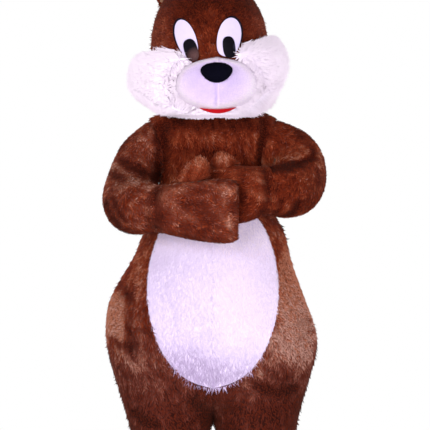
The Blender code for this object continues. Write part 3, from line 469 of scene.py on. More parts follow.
def triangles_of(mesh):
    """Corners of a mesh's triangles, and the face each lies in."""
    mesh.calc_loop_triangles()
    corners = read(mesh.loop_triangles, "vertices", 3).reshape(-1, 3)
    return corners, read(mesh.loop_triangles, "polygon_index")


def placed(name, data):
    """A new object in the scene."""
    made = bpy.data.objects.new(name, data)
    bpy.context.scene.collection.objects.link(made)
    return made


def tree_of(objects):
    """A search tree over the faces of several objects."""
    points, triangles, count = [], [], 0
    for piece in objects:
        found = points_of(piece.data)
        corners, _ = triangles_of(piece.data)
        points.append(found)
        triangles.append(corners + count)
        count += len(found)
    return BVHTree.FromPolygons(np.concatenate(points).tolist(), np.concatenate(triangles).tolist())


SOLIDS = tree_of(NODES.values())
SKY_WAYS = 10
SKY_TURNS = np.arange(SKY_WAYS) * 2.399963
SKY_RISES = (np.arange(SKY_WAYS) + 0.5) / SKY_WAYS
SKY_REACH = 4.0
SEAM_REACH = 0.003
WALL_REACH = 0.2
SEAM_LAP = 0.0004
PROBE = 0.0002
RIM_WIDTH = 0.020
SHOWN, BACK, RIM, WHITE, WHITE_RIM = range(5)


def in_the_open(point, normal, off):
    """Whether light from outside reaches a place that far off a point of the cloth."""
    side = normal.orthogonal().normalized()
    other = normal.cross(side)
    start = point + normal * off
    for turn, rise in zip(SKY_TURNS, SKY_RISES):
        flat = math.sqrt(1 - rise * rise)
        way = normal * rise + side * (flat * math.cos(turn)) + other * (flat * math.sin(turn))
        if SOLIDS.ray_cast(start, way, SKY_REACH)[0] is None:
            return True
    return False


def select_only(piece):
    bpy.ops.object.select_all(action="DESELECT")
    piece.select_set(True)
    bpy.context.view_layer.objects.active = piece


def merged_copy(node, name):
    """A CAD solid's mesh as a piece of its own, its loose triangles merged and paired into quads."""
    mesh = NODES[node].data.copy()
    mesh.materials.clear()
    for mark in ("sharp_edge", "sharp_face"):
        if mark in mesh.attributes:
            mesh.attributes.remove(mesh.attributes[mark])
    mesh.name = name
    piece = placed(name, mesh)
    select_only(piece)
    bpy.ops.object.mode_set(mode="EDIT")
    bpy.ops.mesh.select_all(action="SELECT")
    bpy.ops.mesh.customdata_custom_splitnormals_clear()
    bpy.ops.mesh.remove_doubles(threshold=0.00001)
    bpy.ops.mesh.tris_convert_to_quads(face_threshold=math.radians(35), shape_threshold=math.radians(60))
    bpy.ops.object.mode_set(mode="OBJECT")
    return piece


def sort_faces(shape):
    """Tells the faces that show from the cloth's back."""
    for face in shape.faces:
        middle = face.calc_center_median()
        spots = [middle] + [middle.lerp(corner.co, 0.7) for corner in face.verts]
        bulge = max(abs((corner.co - middle).dot(face.normal)) for corner in face.verts)
        shows = any(in_the_open(spot, face.normal, 0.001 + bulge) for spot in spots)
        face.material_index = SHOWN if shows else BACK


def sink_skin(shape, sunk):
    """Moves the showing faces inward to the roots of the pile, as far as the cloth's thickness lets them."""
    shape.normal_update()
    walls = BVHTree.FromBMesh(shape)
    moves = {}
    for point in shape.verts:
        showing = [face for face in point.link_faces if face.material_index == SHOWN]
        if not showing:
            continue
        normal = sum((face.normal * face.calc_area() for face in showing), Vector()).normalized()
        _, _, _, wall = walls.ray_cast(point.co - normal * PROBE, -normal, WALL_REACH)
        depth = min(sunk, 0.5 * wall) if wall else 0.0
        for rim in point.link_faces:
            if rim.material_index == BACK and abs(rim.normal.dot(normal)) < 0.7:
                normal -= normal.dot(rim.normal) * rim.normal
        moves[point] = normal * depth
    places = {point: point.co.copy() for point in moves}
    facings = {face: face.normal.copy() for face in shape.faces}
    for _ in range(6):
        for point, move in moves.items():
            point.co = places[point] - move
        shape.normal_update()
        folded = [face for face in shape.faces if face.normal.dot(facings[face]) < 0.5]
        for point in {corner for face in folded for corner in face.verts} & moves.keys():
            moves[point] = moves[point] * 0.5


def close_seams(shape):
    """Moves the cut edges of a panel half-way to the panel it is sewn to."""
    moves = {}
    for face in shape.faces:
        around = [other for corner in face.verts for other in corner.link_faces]
        if face.material_index == SHOWN or all(other.material_index != SHOWN for other in around):
            continue
        start = face.calc_center_median() + face.normal * (PROBE / 2)
        place, _, _, gap = SOLIDS.ray_cast(start, face.normal, SEAM_REACH)
        if place is None:
            continue
        for corner in face.verts:
            moves[corner] = face.normal * (gap / 2 + SEAM_LAP)
    for corner, move in moves.items():
        corner.co += move


def crease_rims(shape, angle=50.0):
    marks = shape.edges.layers.float.get("crease_edge") or shape.edges.layers.float.new("crease_edge")
    for edge in shape.edges:
        if len(edge.link_faces) != 2 or edge.calc_face_angle(0.0) > math.radians(angle):
            edge[marks] = 1.0


def mark_rims(shape, node):
    """Marks the narrow cut edges and the head's covered outer faces, which have ground but no pile."""
    for face in shape.faces:
        if face.material_index != BACK:
            continue
        middle = face.calc_center_median()
        outer = node.startswith("head") and face.normal.dot(middle - HEAD_MIDDLE) > 0
        narrow = min(edge.calc_length() for edge in face.edges) < RIM_WIDTH
        beside = any(other.material_index == SHOWN for edge in face.edges for other in edge.link_faces)
        if outer or (narrow and beside):
            face.material_index = RIM


def make_skin(node, kind, levels, sunk=0.0):
    """A smooth skin on a solid's form."""
    piece = merged_copy(node, f"{node}_skin")
    shape = bmesh.new()
    shape.from_mesh(piece.data)
    shape.normal_update()
    sort_faces(shape)
    close_seams(shape)
    if sunk:
        sink_skin(shape, sunk)
    crease_rims(shape)
    mark_rims(shape, node)
    shape.to_mesh(piece.data)
    shape.free()
    back = FINISHES["foam" if node.startswith(("head", "ear")) else "knit"]
    walled = node.startswith(("suit", "sleeve", "mitt", "thumb", "foot", "belly", "head", "ear"))
    for finish in (FINISHES[kind], back if walled else FINISHES[kind], FINISHES[kind]):
        piece.data.materials.append(finish)
    smoother = piece.modifiers.new("smoother", "SUBSURF")
    smoother.levels = smoother.render_levels = levels
    select_only(piece)
    bpy.ops.object.modifier_apply(modifier=smoother.name)
    bpy.ops.object.shade_smooth_by_angle(angle=math.radians(50))
    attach(piece, NODES[node]["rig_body"])
    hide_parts(node)
    return piece


def whiten_face():
    """Gives the front of the head a white ground where cheeks, muzzle and chin meet."""
    piece = SKINS["head_front"]
    near = tree_of([SKINS[name] for name in SKINS if name.startswith(("cheek", "muzzle", "chin"))])
    for _ in range(2):
        piece.data.materials.append(FINISHES["long"])
    for face in piece.data.polygons:
        x, _, z = face.center
        _, _, _, away = near.find_nearest(face.center)
        beside = abs(x - FACE_MIDDLE[0]) > 0.075 or z < 0.10
        if face.material_index != BACK and beside and z < 0.22 and away < 0.024:
            face.material_index = WHITE if face.material_index == SHOWN else WHITE_RIM


FACE_MIDDLE = np.array([0.008, -0.200, 0.085])
FACE_FLOOR = -0.010
FACE_DEPTH = np.array([0.0, 0.0, 0.110])
ELBOW_HOLLOW = np.array([-0.176, -0.060, -0.205])
HEAD_MIDDLE = Vector((0.0, -0.020, 0.190))
SHORN_CORNERS = ((0.214, 0.240), (-0.208, 0.032))

SKINS = {}
for skin_node, skin_row in {**PLUSH_SKINS, **TRIM_SKINS}.items():
    SKINS[skin_node] = make_skin(skin_node, *skin_row)
whiten_face()


# Creases of the cloth, in millimetres, by the pieces and the side they face (1 is the back):
# depth, width, and the points (x, z) of their line
RIGHT_WRIST = ((-160, -222), (-163, -270), (-162, -320), (-158, -368))
LEFT_WRIST = ((152, -170), (160, -215), (160, -265), (150, -315))
CREASES = {
    ("suit_front", -1): (
        (12, 10, ((162, -20), (160, -60), (152, -110), (150, -160))),
        (12, 14, ((-160, -30), (-154, -80), (-154, -130), (-162, -190))),
        (4, 14, ((-252, -540), (-266, -600), (-262, -670), (-240, -735))),
        (8, 10, ((-312, -698), (-286, -716), (-258, -724))),
        (8, 11, ((-304, -522), (-284, -548), (-260, -566))),
        (12, 8, ((258, -650), (284, -642), (312, -650))),
        (7, 9, ((268, -690), (292, -672), (318, -676))),
        (5, 12, ((292, -560), (304, -600), (300, -630))),
        (8, 10, ((-242, -925), (-214, -952), (-176, -962))),
        (5, 14, ((130, -830), (190, -860), (245, -850))),
        (5, 16, ((-60, -880), (-30, -920), (-10, -955))),
        (5, 20, ((-120, -14), (0, -26), (120, -14))),
        (6, 14, ((80, -1090), (140, -1110), (200, -1095))),
        (6, 14, ((-205, -1180), (-140, -1205), (-85, -1190))),
        (6, 12, ((90, -1290), (140, -1305), (195, -1290))),
        (6, 12, ((-200, -1310), (-140, -1325), (-90, -1305))),
    ),
    ("sleeve_left", -1): (
        (10, 10, ((176, -30), (166, -80), (164, -130), (170, -180))),
        (16, 10, ((140, -180), (205, -171), (262, -158), (310, -134))),
        (6, 10, ((262, -50), (292, -80), (312, -112))),
        (10, 8, ((206, -326), (240, -306), (262, -276))),
        (8, 7, ((180, -318), (202, -296), (208, -272))),
        (10, 8, LEFT_WRIST),
    ),
    ("sleeve_right", -1): (
        (10, 12, ((-172, -40), (-166, -90), (-168, -140), (-176, -190))),
        (10, 8, ((-320, -280), (-306, -314), (-284, -340))),
        (7, 7, ((-300, -266), (-286, -300), (-262, -328))),
        (9, 12, ((-300, -120), (-266, -156), (-212, -182))),
        (6, 10, ((-330, -170), (-300, -186), (-276, -212))),
        (12, 7.5, RIGHT_WRIST),
    ),
    ("muzzle", -1): (
        (3, 3.5, ((9, 88), (9, 45), (9, 6))),
    ),
    ("mitt_right", -1): (
        (14, 7.5, RIGHT_WRIST),
    ),
    ("mitt_left", -1): (
        (10, 8, LEFT_WRIST),
    ),
    ("sleeve_left", 1): (
        (10, 10, ((205, -175), (245, -160), (285, -165))),
    ),
    ("sleeve_right", 1): (
        (10, 10, ((-200, -200), (-240, -190), (-285, -205))),
    ),
    ("suit_back", 1): (
        (10, 14, ((250, -560), (268, -630), (250, -700))),
        (9, 12, ((-250, -640), (-285, -655), (-315, -640))),
        (8, 16, ((-150, -880), (-90, -905), (-30, -895))),
        (8, 16, ((170, -890), (100, -910), (35, -900))),
        (8, 18, ((-160, -290), (-90, -325), (-30, -320))),
        (8, 18, ((165, -310), (95, -340), (30, -330))),
        (7, 14, ((-130, -100), (-110, -160), (-120, -220))),
        (7, 14, ((135, -90), (115, -150), (120, -215))),
        (6, 14, ((-210, -1120), (-140, -1145), (-80, -1130))),
        (6, 14, ((85, -1230), (140, -1250), (205, -1235))),
    ),
}
LIP_SHARE = 0.35
LIP_AT = 2.2


def nearest_stretch(points, line):
    """How far points lie from a line of straight stretches, and which way the nearest stretch runs."""
    best, ways = np.full(len(points), np.inf), np.zeros_like(points)
    for first, second in zip(line[:-1], line[1:]):
        step = second - first
        share = np.clip((points - first) @ step / (step @ step), 0, 1)
        away = np.linalg.norm(points - first - share[:, None] * step, axis=1)
        nearer = away < best
        best[nearer] = away[nearer]
        ways[nearer] = unit(step)
    return best, ways


def crease_weights(node, points, normals, spread=1.0):
    """For each crease on a piece: its depth, and how far its trough and its lips reach each point."""
    for (nodes, face), rows in CREASES.items():
        if not node.startswith(nodes):
            continue
        turned_to = ease(np.abs(normals[:, 1]) * 3)
        if node.startswith("suit_back"):
            turned_to = turned_to * ease((np.abs(points[:, 0]) - 0.018) / 0.040)
        for depth, width, line in rows:
            depth, width = depth / MM_PER_METRE, width / MM_PER_METRE
            away, _ = nearest_stretch(points[:, [0, 2]], np.array(line) / MM_PER_METRE)
            facing = turned_to
            if node.startswith(("sleeve", "mitt")):
                near = away < 3 * width
                middle = points[near, 1].mean() if near.any() else 0.0
                facing = facing * ((points[:, 1] - middle) * face > 0)
            trough = np.exp(-((away / (width * spread)) ** 2)) * facing
            lip = np.exp(-(((away - LIP_AT * width) / width) ** 2)) * facing
            yield face, depth, trough, lip


def crease_cloth():
    """Presses the creases into both faces of the cloth, wider on its back, which has fewer points."""
    for node, piece in SKINS.items():
        points, normals = points_of(piece.data), normals_of(piece.data)
        covered = np.ones(len(points), bool)
        for face in piece.data.polygons:
            if face.material_index not in (BACK, RIM):
                covered[list(face.vertices)] = False
        spread = np.where(covered, 2.6, 1.0)
        moved = points.copy()
        for face, depth, trough, lip in crease_weights(node, points, normals, spread):
            moved[:, 1] -= face * depth * (trough - np.where(covered, 0.0, LIP_SHARE) * lip)
        piece.data.vertices.foreach_set("co", moved.astype(np.float32).ravel())
        piece.data.update()


crease_cloth()

# Piles: length, rise and half-width of a lock, locks a square metre, spread, and whether they bend
PILE_SORTS = {
    "brown": (0.0145, 0.0050, 0.0024, 28500, 0.38, False),
    "close": (0.0100, 0.0038, 0.0020, 36000, 0.42, False),
    "tan": (0.0080, 0.0030, 0.0013, 50000, 0.40, False),
    "belly": (0.0110, 0.0042, 0.0013, 85000, 0.42, False),
    "long": (0.0260, 0.0085, 0.0017, 107000, 0.36, True),
    "ring": (0.0200, 0.0130, 0.0019, 72000, 0.38, True),
    "chin": (0.0090, 0.0060, 0.0013, 150000, 0.30, True),
    "short": (0.0045, 0.0018, 0.0009, 150000, 0.60, False),
    "nose": (0.0030, 0.0014, 0.0007, 240000, 0.60, False),
}
PILE_SEAT = 0.0015
PILE_FINISHES = {"close": "brown", "ring": "long", "chin": "long"}
CLOSE_NODES = ("head", "ear", "mitt", "thumb", "foot")

# Places made lighter or darker, by the pieces and the side they face: x, z, half-width and half-height in
# millimetres, and the change of tone. They are partly the nap's brushing and partly painted highlights (hips,
# mitt and thumb tops, forearms, ear) and painted shade (the right mitt's shadow on the left mitt, under the
# chin, the crown, the thighs).
BRUSHED_AND_PAINTED_LIGHT = {
    ("mitt_right", -1): (
        (-112, -285, 12, 55, 0.38),
        (40, -246, 40, 18, 0.34),
        (52, -335, 22, 22, 0.30),
        (-30, -300, 50, 60, -0.10),
        (-40, -390, 120, 20, -0.16),
    ),
    ("thumb_right", -1): (
        (-45, -145, 22, 26, 0.40),
        (-90, -175, 30, 20, 0.20),
    ),
    ("thumb_left", -1): (
        (32, -142, 40, 26, 0.34),
        (-6, -170, 14, 30, -0.30),
    ),
    ("mitt_left", -1): (
        (110, -215, 30, 40, 0.10),
        (88, -255, 12, 70, -0.36),
        (122, -220, 22, 50, 0.16),
    ),
    ("suit_front", -1): (
        (10, -75, 110, 60, -0.11),
        (-125, -80, 45, 80, -0.10),
        (105, -70, 40, 60, 0.08),
        (12, -116, 75, 18, -0.24),
        (-302, -630, 36, 72, 1.10),
        (-230, -470, 30, 80, 0.12),
        (-262, -640, 12, 80, -0.22),
        (-222, -640, 20, 100, 0.08),
        (268, -600, 60, 125, 1.25),
        (225, -450, 30, 90, 0.30),
        (245, -740, 60, 40, 0.16),
        (0, -960, 300, 90, -0.20),
        (215, -860, 70, 80, -0.20),
        (-190, -850, 70, 60, 0.12),
    ),
    ("sleeve_right", -1): (
        (-205, -70, 45, 45, 0.26),
        (-300, -150, 30, 40, 0.18),
        (-225, -222, 65, 20, 0.30),
        (-200, -150, 30, 50, -0.12),
    ),
    ("sleeve_left", -1): (
        (250, -138, 70, 12, 0.26),
        (330, -140, 30, 70, 0.16),
        (205, -105, 28, 50, -0.18),
        (240, -190, 60, 30, 0.10),
        (250, -230, 80, 60, -0.10),
    ),
    ("suit_back", 1): (
        (-328, -630, 34, 78, 0.48),
        (330, -610, 36, 120, 0.36),
        (250, -640, 50, 80, 0.28),
        (-270, -560, 50, 70, 0.24),
        (0, -960, 300, 90, -0.16),
        (-90, -130, 60, 60, 0.14),
    ),
    ("head_front", -1): (
        (-10, 350, 250, 70, -0.60),
        (-150, 250, 30, 80, 0.20),
        (150, 260, 30, 80, 0.12),
        (0, 250, 30, 60, 0.08),
    ),
    ("ear_right", -1): (
        (-160, 380, 50, 50, 0.40),
    ),
}
# Middle lines of the arms from shoulder to fingertips, in millimetres
ARM_LINES = {
    "left": (
        (198, 0, -115), (275, -62, -160), (275, -120, -207),
        (208, -222, -240), (130, -257, -245), (-68, -246, -250),
    ),
    "right": (
        (-198, 0, -115), (-253, -62, -200), (-264, -130, -254),
        (-214, -262, -292), (-128, -318, -297), (80, -335, -303),
    ),
}


def steady(way):
    """A nap that runs the same way everywhere."""
    return lambda points: np.tile(way, (len(points), 1))


def arm_way(hand):
    """A nap that runs down the arm to the fingers and falls a little."""
    line = np.array(ARM_LINES[hand]) / MM_PER_METRE
    return lambda points: nearest_stretch(points, line)[1] + 0.35 * DOWN


def head_way(points):
    outward = points - FACE_MIDDLE
    return unit(outward) + 0.6 * DOWN


def face_way(points):
    """Pile of the face is brushed away from the nose."""
    return unit(points - FACE_MIDDLE)


def cheek_way(points):
    return unit((points - FACE_MIDDLE) * [1.0, 0.5, 1.0]) + 0.15 * DOWN


def nap_of(node):
    hand = "left" if node.endswith("left") else "right"
    if node.startswith(("sleeve", "mitt")):
        return arm_way(hand)
    if node.startswith(("thumb", "ear")):
        return steady(UP)
    if node.startswith("head"):
        return head_way
    if node.startswith(("cheek", "chin")):
        return cheek_way
    if node.startswith(("muzzle", "nose")):
        return face_way
    if node.startswith("foot"):
        return steady(FRONT + 0.4 * DOWN)
    return steady(DOWN)


KEPT_CLEAR = tree_of(
    [SKINS[name] for name in SKINS if name.startswith(("eye", "pupil", "mouth", "nose", "zip"))]
)


def clouds(node, points):
    """Large patches of the pile, and small tufts drawn out the way it is combed."""
    patches = cloudy(points, 0.110, 3) * 0.5 + cloudy(points, 0.040, 5) * 0.5
    combed = points * ((0.65, 0.65, 1.0) if node.startswith(("sleeve", "mitt")) else (1.0, 1.0, 0.65))
    return patches, cloudy(combed, 0.010, 7)


def belly_tone(node, points, normals, chance):
    """Darker low down, lighter to the costume's left, and painted light at the top where the mitts cast their
    shade.
    """
    side = ease(points[:, 0] / 0.16 + 0.5)
    low = ease((-0.66 - points[:, 2]) / 0.16)
    chance = (chance - 0.5) * (0.10 + 0.50 * low)
    # Painted light that lifts the shade the mitts cast on the top of the belly.
    painted_top_light = ease((points[:, 2] + 0.46) / 0.09)
    return 0.31 + 0.28 * side - 0.58 * low + 0.46 * painted_top_light + 0.10 * cloudy(points, 0.060, 3) + chance


def short_tone(node, points, normals, chance):
    """Painted highlight where the muzzle rounds away from the front, painted shade in its seam."""
    # Painted highlight: lighter where the muzzle's surface turns away from the front.
    rim = ease((0.95 + normals[:, 1]) / 0.60)
    tone = 0.10 + 0.80 * rim + 0.10 * cloudy(points, 0.030, 5) + 0.10 * (chance - 0.5)
    # Painted shade in the seam's groove.
    for _, _, trough, _ in crease_weights(node, points, normals):
        tone -= 0.4 * trough
    return tone


def plain_tone(node, points, normals, chance):
    patches, tufts = clouds(node, points)
    return 0.40 + 0.15 * patches + 0.15 * tufts + 0.25 * chance


def brown_tone(node, points, normals, chance):
    """Patches and tufts, calmer on the legs, with the table's brushed places, painted highlights and painted
    shade, and painted shade in the creases with painted highlights on their lips.
    """
    patches, tufts = clouds(node, points)
    legs = ease((-0.72 - points[:, 2]) / 0.22)
    tone = -0.31 + (0.68 - 0.36 * legs) * patches + 0.62 * tufts + 0.28 * chance - 0.05 * legs
    # Brushing of the nap together with painted highlights and painted shade, on the side each row faces.
    for (nodes, face), rows in BRUSHED_AND_PAINTED_LIGHT.items():
        if not node.startswith(nodes):
            continue
        for *sizes, change in rows:
            x, z, wide, tall = (size / MM_PER_METRE for size in sizes)
            away = ((points[:, 0] - x) / wide) ** 2 + ((points[:, 2] - z) / tall) ** 2
            tone += change * np.exp(-away) * ease(normals[:, 1] * face * 2 + 0.5)
    # Painted shade in the creases' troughs and a painted highlight on their lips.
    for _, depth, trough, lip in crease_weights(node, points, normals, 1.6):
        tone += 0.16 * lip - min(0.75, 50 * depth) * trough
    return tone


TONES = {"belly": belly_tone, "short": short_tone, **dict.fromkeys(("brown", "close", "tan"), brown_tone)}


def tone_of(node, kind, points, normals, rng):
    """How light each lock is, from 0 to 1 and a little beyond."""
    return TONES.get(kind, plain_tone)(node, points, normals, rng.random(len(points)))


def mauve_share(node, points):
    """How much of the brown pile is of the paler, bluer brown: all of it on the legs."""
    arms = 0.42 if node.startswith(("sleeve_right", "mitt_right")) else 0.08
    warm = ease((-0.24 - points[:, 0]) / 0.05) * ease((0.80 + points[:, 2]) / 0.10)
    return np.maximum(ease((-0.42 - points[:, 2]) / 0.40) * (1.0 - 0.5 * warm), arms)


def mixed_stops(stops, tones):
    places, colours = zip(*stops)
    return np.stack([np.interp(tones, places, channel) for channel in zip(*colours)], axis=1)


def tint_grounds():
    """Stores on the brown and short white skins the colour of the pile that stands there, with its painted
    light and shade; the brown ground is painted darker still as shade beneath the locks.
    """
    for node, (kind, _, _) in PLUSH_SKINS.items():
        if kind not in ("brown", "short"):
            continue
        mesh = SKINS[node].data
        points = points_of(mesh)
        tone = np.clip(tone_of(node, kind, points, normals_of(mesh), np.random.default_rng(5)), 0.0, 1.0)
        share = mauve_share(node, points)[:, None]
        tint = (1 - share) * mixed_stops(RUST_STOPS, tone) + share * mixed_stops(MAUVE_STOPS, tone)
        # Painted shade: the brown ground darker than its pile, beneath the locks; the short white ground a
        # little lighter.
        painted_ground_shade = 0.68
        if kind == "short":
            tint, painted_ground_shade = mixed_stops(SHORT_STOPS, tone), 1.15
        layer = mesh.color_attributes.new(name=GROUND_TINT, type="FLOAT_COLOR", domain="POINT")
        colours = np.concatenate([np.minimum(painted_ground_shade * tint, 1.0), np.ones((len(points), 1))], axis=1)
        layer.data.foreach_set("color", colours.astype(np.float32).ravel())


def turned(ways, normals, angles):
    """Directions in the cloth's plane, turned about its normal."""
    return ways * np.cos(angles)[:, None] + np.cross(normals, ways) * np.sin(angles)[:, None]


def pile_roots(mesh, crowd, rng, sort):
    """Places and normals of the locks, spread evenly over the faces that show."""
    points, normals = points_of(mesh), normals_of(mesh)
    corners, faces = triangles_of(mesh)
    corners = corners[read(mesh.polygons, "material_index")[faces] == sort]
    first, second, third = (points[corners[:, index]] for index in range(3))
    across = np.cross(second - first, third - first)
    areas = np.linalg.norm(across, axis=1) / 2
    count = int(areas.sum() * crowd)
    chosen = np.searchsorted(np.cumsum(areas) / areas.sum(), (np.arange(count) + rng.random(count)) / count)
    chosen = np.clip(chosen, 0, len(corners) - 1)
    u, v = rng.random(count), rng.random(count)
    u, v = np.where(u + v > 1, 1 - u, u), np.where(u + v > 1, 1 - v, v)
    weights = np.stack([1 - u - v, u, v], axis=1)
    spots = np.einsum("nk,nkj->nj", weights, points[corners[chosen]])
    facing = unit(np.einsum("nk,nkj->nj", weights, normals[corners[chosen]]))
    return spots, facing


def clear_tips(roots, tips, normals):
    """Which locks leave the eyes, nose, mouth and zip free."""
    keep = np.ones(len(roots), bool)
    for index, (root, tip, normal) in enumerate(zip(roots, tips, normals)):
        away = Vector(normal)
        for spot in (Vector(root), Vector(tip)):
            if KEPT_CLEAR.ray_cast(spot + away * 0.03, -away, 0.05)[0] is not None:
                keep[index] = False
                break
    return keep


def reach_share(kind, roots):
    """How long the locks are in each place, against the longest."""
    if kind == "long":
        share = 0.70 + 0.40 * ease((np.linalg.norm(roots - FACE_MIDDLE, axis=1) - 0.09) / 0.10)
        for x, z in SHORN_CORNERS:
            away = ((roots[:, 0] - x) ** 2 + (roots[:, 2] - z) ** 2) / 0.045**2
            share *= 1.0 - 0.75 * np.exp(-away)
        return share
    if kind == "belly":
        return (1.0 + 0.6 * ease((-0.64 - roots[:, 2]) / 0.14)) * (0.5 + 1.2 * cloudy(roots, 0.014, 17))
    if kind == "brown":
        return 1.0 + 0.8 * np.exp(-(((roots - ELBOW_HOLLOW) / 0.045) ** 2).sum(1))
    return np.ones(len(roots))


def beside_muzzle(roots):
    """How close each place is to the muzzle, where long pile stands up and closes the hollow."""
    near = tree_of([SKINS["muzzle_left"], SKINS["muzzle_right"]])
    away = np.array([near.find_nearest(Vector(root))[3] for root in roots])
    return ease(1.0 - away / 0.052)


def level_chin(roots, tips):
    """How much of each lock is left so that none hangs below the edge of the face."""
    fall = np.maximum(roots[:, 2] - tips[:, 2], 1e-6)
    return np.where(tips[:, 2] < FACE_FLOOR, np.clip((roots[:, 2] - FACE_FLOOR) / fall, 0.25, 1.0), 1.0)


def comb(node, kind, roots, normals, beside, rng):
    """Which way each lock runs and its side faces: by the nap, in swirls, and a little by chance."""
    *_, spread, bends = PILE_SORTS[kind]
    ways = nap_of(node)(roots)
    swirl = (cloudy(roots, 0.060, 11) - 0.5) * 1.6 + (cloudy(roots, 0.018, 13) - 0.5) * 1.5
    if kind not in ("brown", "close"):
        swirl *= 0.4
    raised = (unit(ways) * normals).sum(1, keepdims=True)
    if bends:
        ways = ways + 1.5 * np.maximum(-raised, 0.0) * FRONT
    ways = unit(ways - (ways * normals).sum(1, keepdims=True) * normals)
    astray = np.clip(rng.normal(0, spread, len(roots)), -2 * spread, 2 * spread)
    ways = turned(ways, normals, swirl + astray)
    sides = np.cross(normals, ways)
    if bends:
        onward = (1.0 - (2.0 if kind == "long" else 0.7) * beside)[:, None]
        ways = unit(onward * ways + (np.maximum(raised, 0.0) + 0.8 * (1 - np.abs(onward))) * normals)
        sides = sides * np.where(onward < 0, -1.0, 1.0)
    return ways, sides


def lock_sizes(node, kind, roots, normals, beside, rng):
    """How far each lock reaches along the cloth, how high it stands and half its width."""
    long, rise, half_width, *_ = PILE_SORTS[kind]
    reach = (long * (0.65 + 0.7 * rng.random(len(roots))) * reach_share(kind, roots))[:, None]
    for _, _, trough, _ in crease_weights(node, roots, normals, 2.2):
        reach *= (1.0 - 0.6 * trough)[:, None]
    lift = rise * (0.7 + 0.5 * rng.random(len(roots)))[:, None]
    lift *= (1.0 + 0.8 * beside)[:, None]
    width = half_width * (0.7 + 0.6 * rng.random(len(roots)))[:, None]
    return reach, lift, width


def lock_rings(bends, roots, normals, ways, sides, reach, lift, width, tips, rng):
    """Corners of the locks: each with its place, its share of the way to the tip, and its shading normal."""
    seat = roots - PILE_SEAT * normals
    tops = np.cross(ways, sides)
    soft = (0.25 if bends else 0.45) * sides
    facing = unit(0.3 * normals + unit(roots - FACE_DEPTH)) if bends else normals
    rings = [
        (seat - width * sides, 0.0, facing - soft),
        (seat + width * sides, 0.0, facing + soft),
        (seat + 1.3 * width * tops, 0.0, facing),
    ]
    if bends:
        middle = roots + 0.45 * reach * ways + 0.85 * lift * normals
        tips = roots + reach * ways + 0.8 * lift * normals + 0.15 * lift * rng.normal(0, 1, (len(roots), 3))
        slim = 0.75 * width
        rings += [
            (middle - slim * sides, 0.5, facing - soft),
            (middle + slim * sides, 0.5, facing + soft),
            (middle + slim * tops, 0.5, facing),
        ]
    return [*rings, (tips, 1.0, facing + 0.3 * ways)]


STRAIGHT_LOCK = ((0, 2, 1), (0, 1, 3), (1, 2, 3), (2, 0, 3))
BENT_LOCK = ((0, 2, 1), (0, 1, 4, 3), (1, 2, 5, 4), (2, 0, 3, 5), (3, 4, 6), (4, 5, 6), (5, 3, 6))


def grow_pile(name, node, kind, seed, sort):
    """The pile on one skin: closed locks of three sides that lean the way the plush is brushed."""
    *_, crowd, _, bends = PILE_SORTS[kind]
    rng = np.random.default_rng(seed)
    roots, normals = pile_roots(SKINS[node].data, crowd, rng, sort)
    beside = beside_muzzle(roots) if bends else np.zeros(len(roots))
    ways, sides = comb(node, kind, roots, normals, beside, rng)
    reach, lift, width = lock_sizes(node, kind, roots, normals, beside, rng)
    tips = roots + reach * ways + lift * normals
    if bends:
        left = level_chin(roots, tips)[:, None]
        reach, lift = reach * left, lift * left
        tips = roots + reach * ways + lift * normals
    tone = np.clip(tone_of(node, kind, roots, normals, rng), 0.03, 0.97)
    if kind in ("brown", "close"):
        tone = RUST_PART * tone + (1 - RUST_PART) * (rng.random(len(roots)) < mauve_share(node, roots))
    if node.startswith(("head", "cheek", "chin", "muzzle", "suit_back")):
        keep = clear_tips(roots, tips, normals)
        values = (roots, normals, ways, sides, reach, lift, width, tips, tone)
        roots, normals, ways, sides, reach, lift, width, tips, tone = (value[keep] for value in values)
    rings = lock_rings(bends, roots, normals, ways, sides, reach, lift, width, tips, rng)
    return lock_mesh(name, rings, BENT_LOCK if bends else STRAIGHT_LOCK, tone, kind)


def lock_mesh(name, rings, faces, tone, kind):
    count, corners = len(tone), len(rings)
    points = np.stack([ring for ring, _, _ in rings], axis=1).reshape(-1, 3)
    softened = unit(np.stack([normals for _, _, normals in rings], axis=1).reshape(-1, 3))
    starts = (np.arange(count) * corners)[:, None]
    sizes = np.tile([len(face) for face in faces], count)
    loops = (starts + np.concatenate([np.array(face) for face in faces])[None, :]).reshape(-1)
    mesh = bpy.data.meshes.new(name)
    mesh.vertices.add(len(points))
    mesh.vertices.foreach_set("co", points.astype(np.float32).ravel())
    mesh.loops.add(len(loops))
    mesh.loops.foreach_set("vertex_index", loops.astype(np.int32))
    mesh.polygons.add(len(sizes))
    mesh.polygons.foreach_set("loop_start", np.concatenate([[0], np.cumsum(sizes)[:-1]]).astype(np.int32))
    mesh.update(calc_edges=True)
    along = np.array([share for _, share, _ in rings])
    shift = np.resize([-0.01, 0.01, 0.0], corners)
    shift[-1] = 0.0
    spot = np.stack([(tone[:, None] + shift).reshape(-1), np.tile(along * 0.98 + 0.01, count)], axis=1)
    layer = mesh.uv_layers.new(name=PILE_MAP)
    layer.uv.foreach_set("vector", spot[loops].astype(np.float32).ravel())
    mesh.shade_smooth()
    mesh.normals_split_custom_set_from_vertices(softened.tolist())
    mesh.materials.append(PILES[PILE_FINISHES.get(kind, kind)])
    return placed(name, mesh)


tint_grounds()
PILE_PIECES = {}
PILE_ROWS = [(f"{node}_pile", node, kind, SHOWN) for node, (kind, _, _) in PLUSH_SKINS.items()]
PILE_ROWS.append(("face_ring_pile", "head_front", "ring", WHITE))
for pile_seed, (pile_name, pile_node, pile_kind, pile_sort) in enumerate(PILE_ROWS):
    if pile_node == "chin":
        pile_kind = "chin"
    if pile_kind == "brown" and pile_node.startswith(CLOSE_NODES):
        pile_kind = "close"
    made = grow_pile(pile_name, pile_node, pile_kind, pile_seed + 1, pile_sort)
    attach(made, "root")
    PILE_PIECES.setdefault(pile_node, []).append(made)


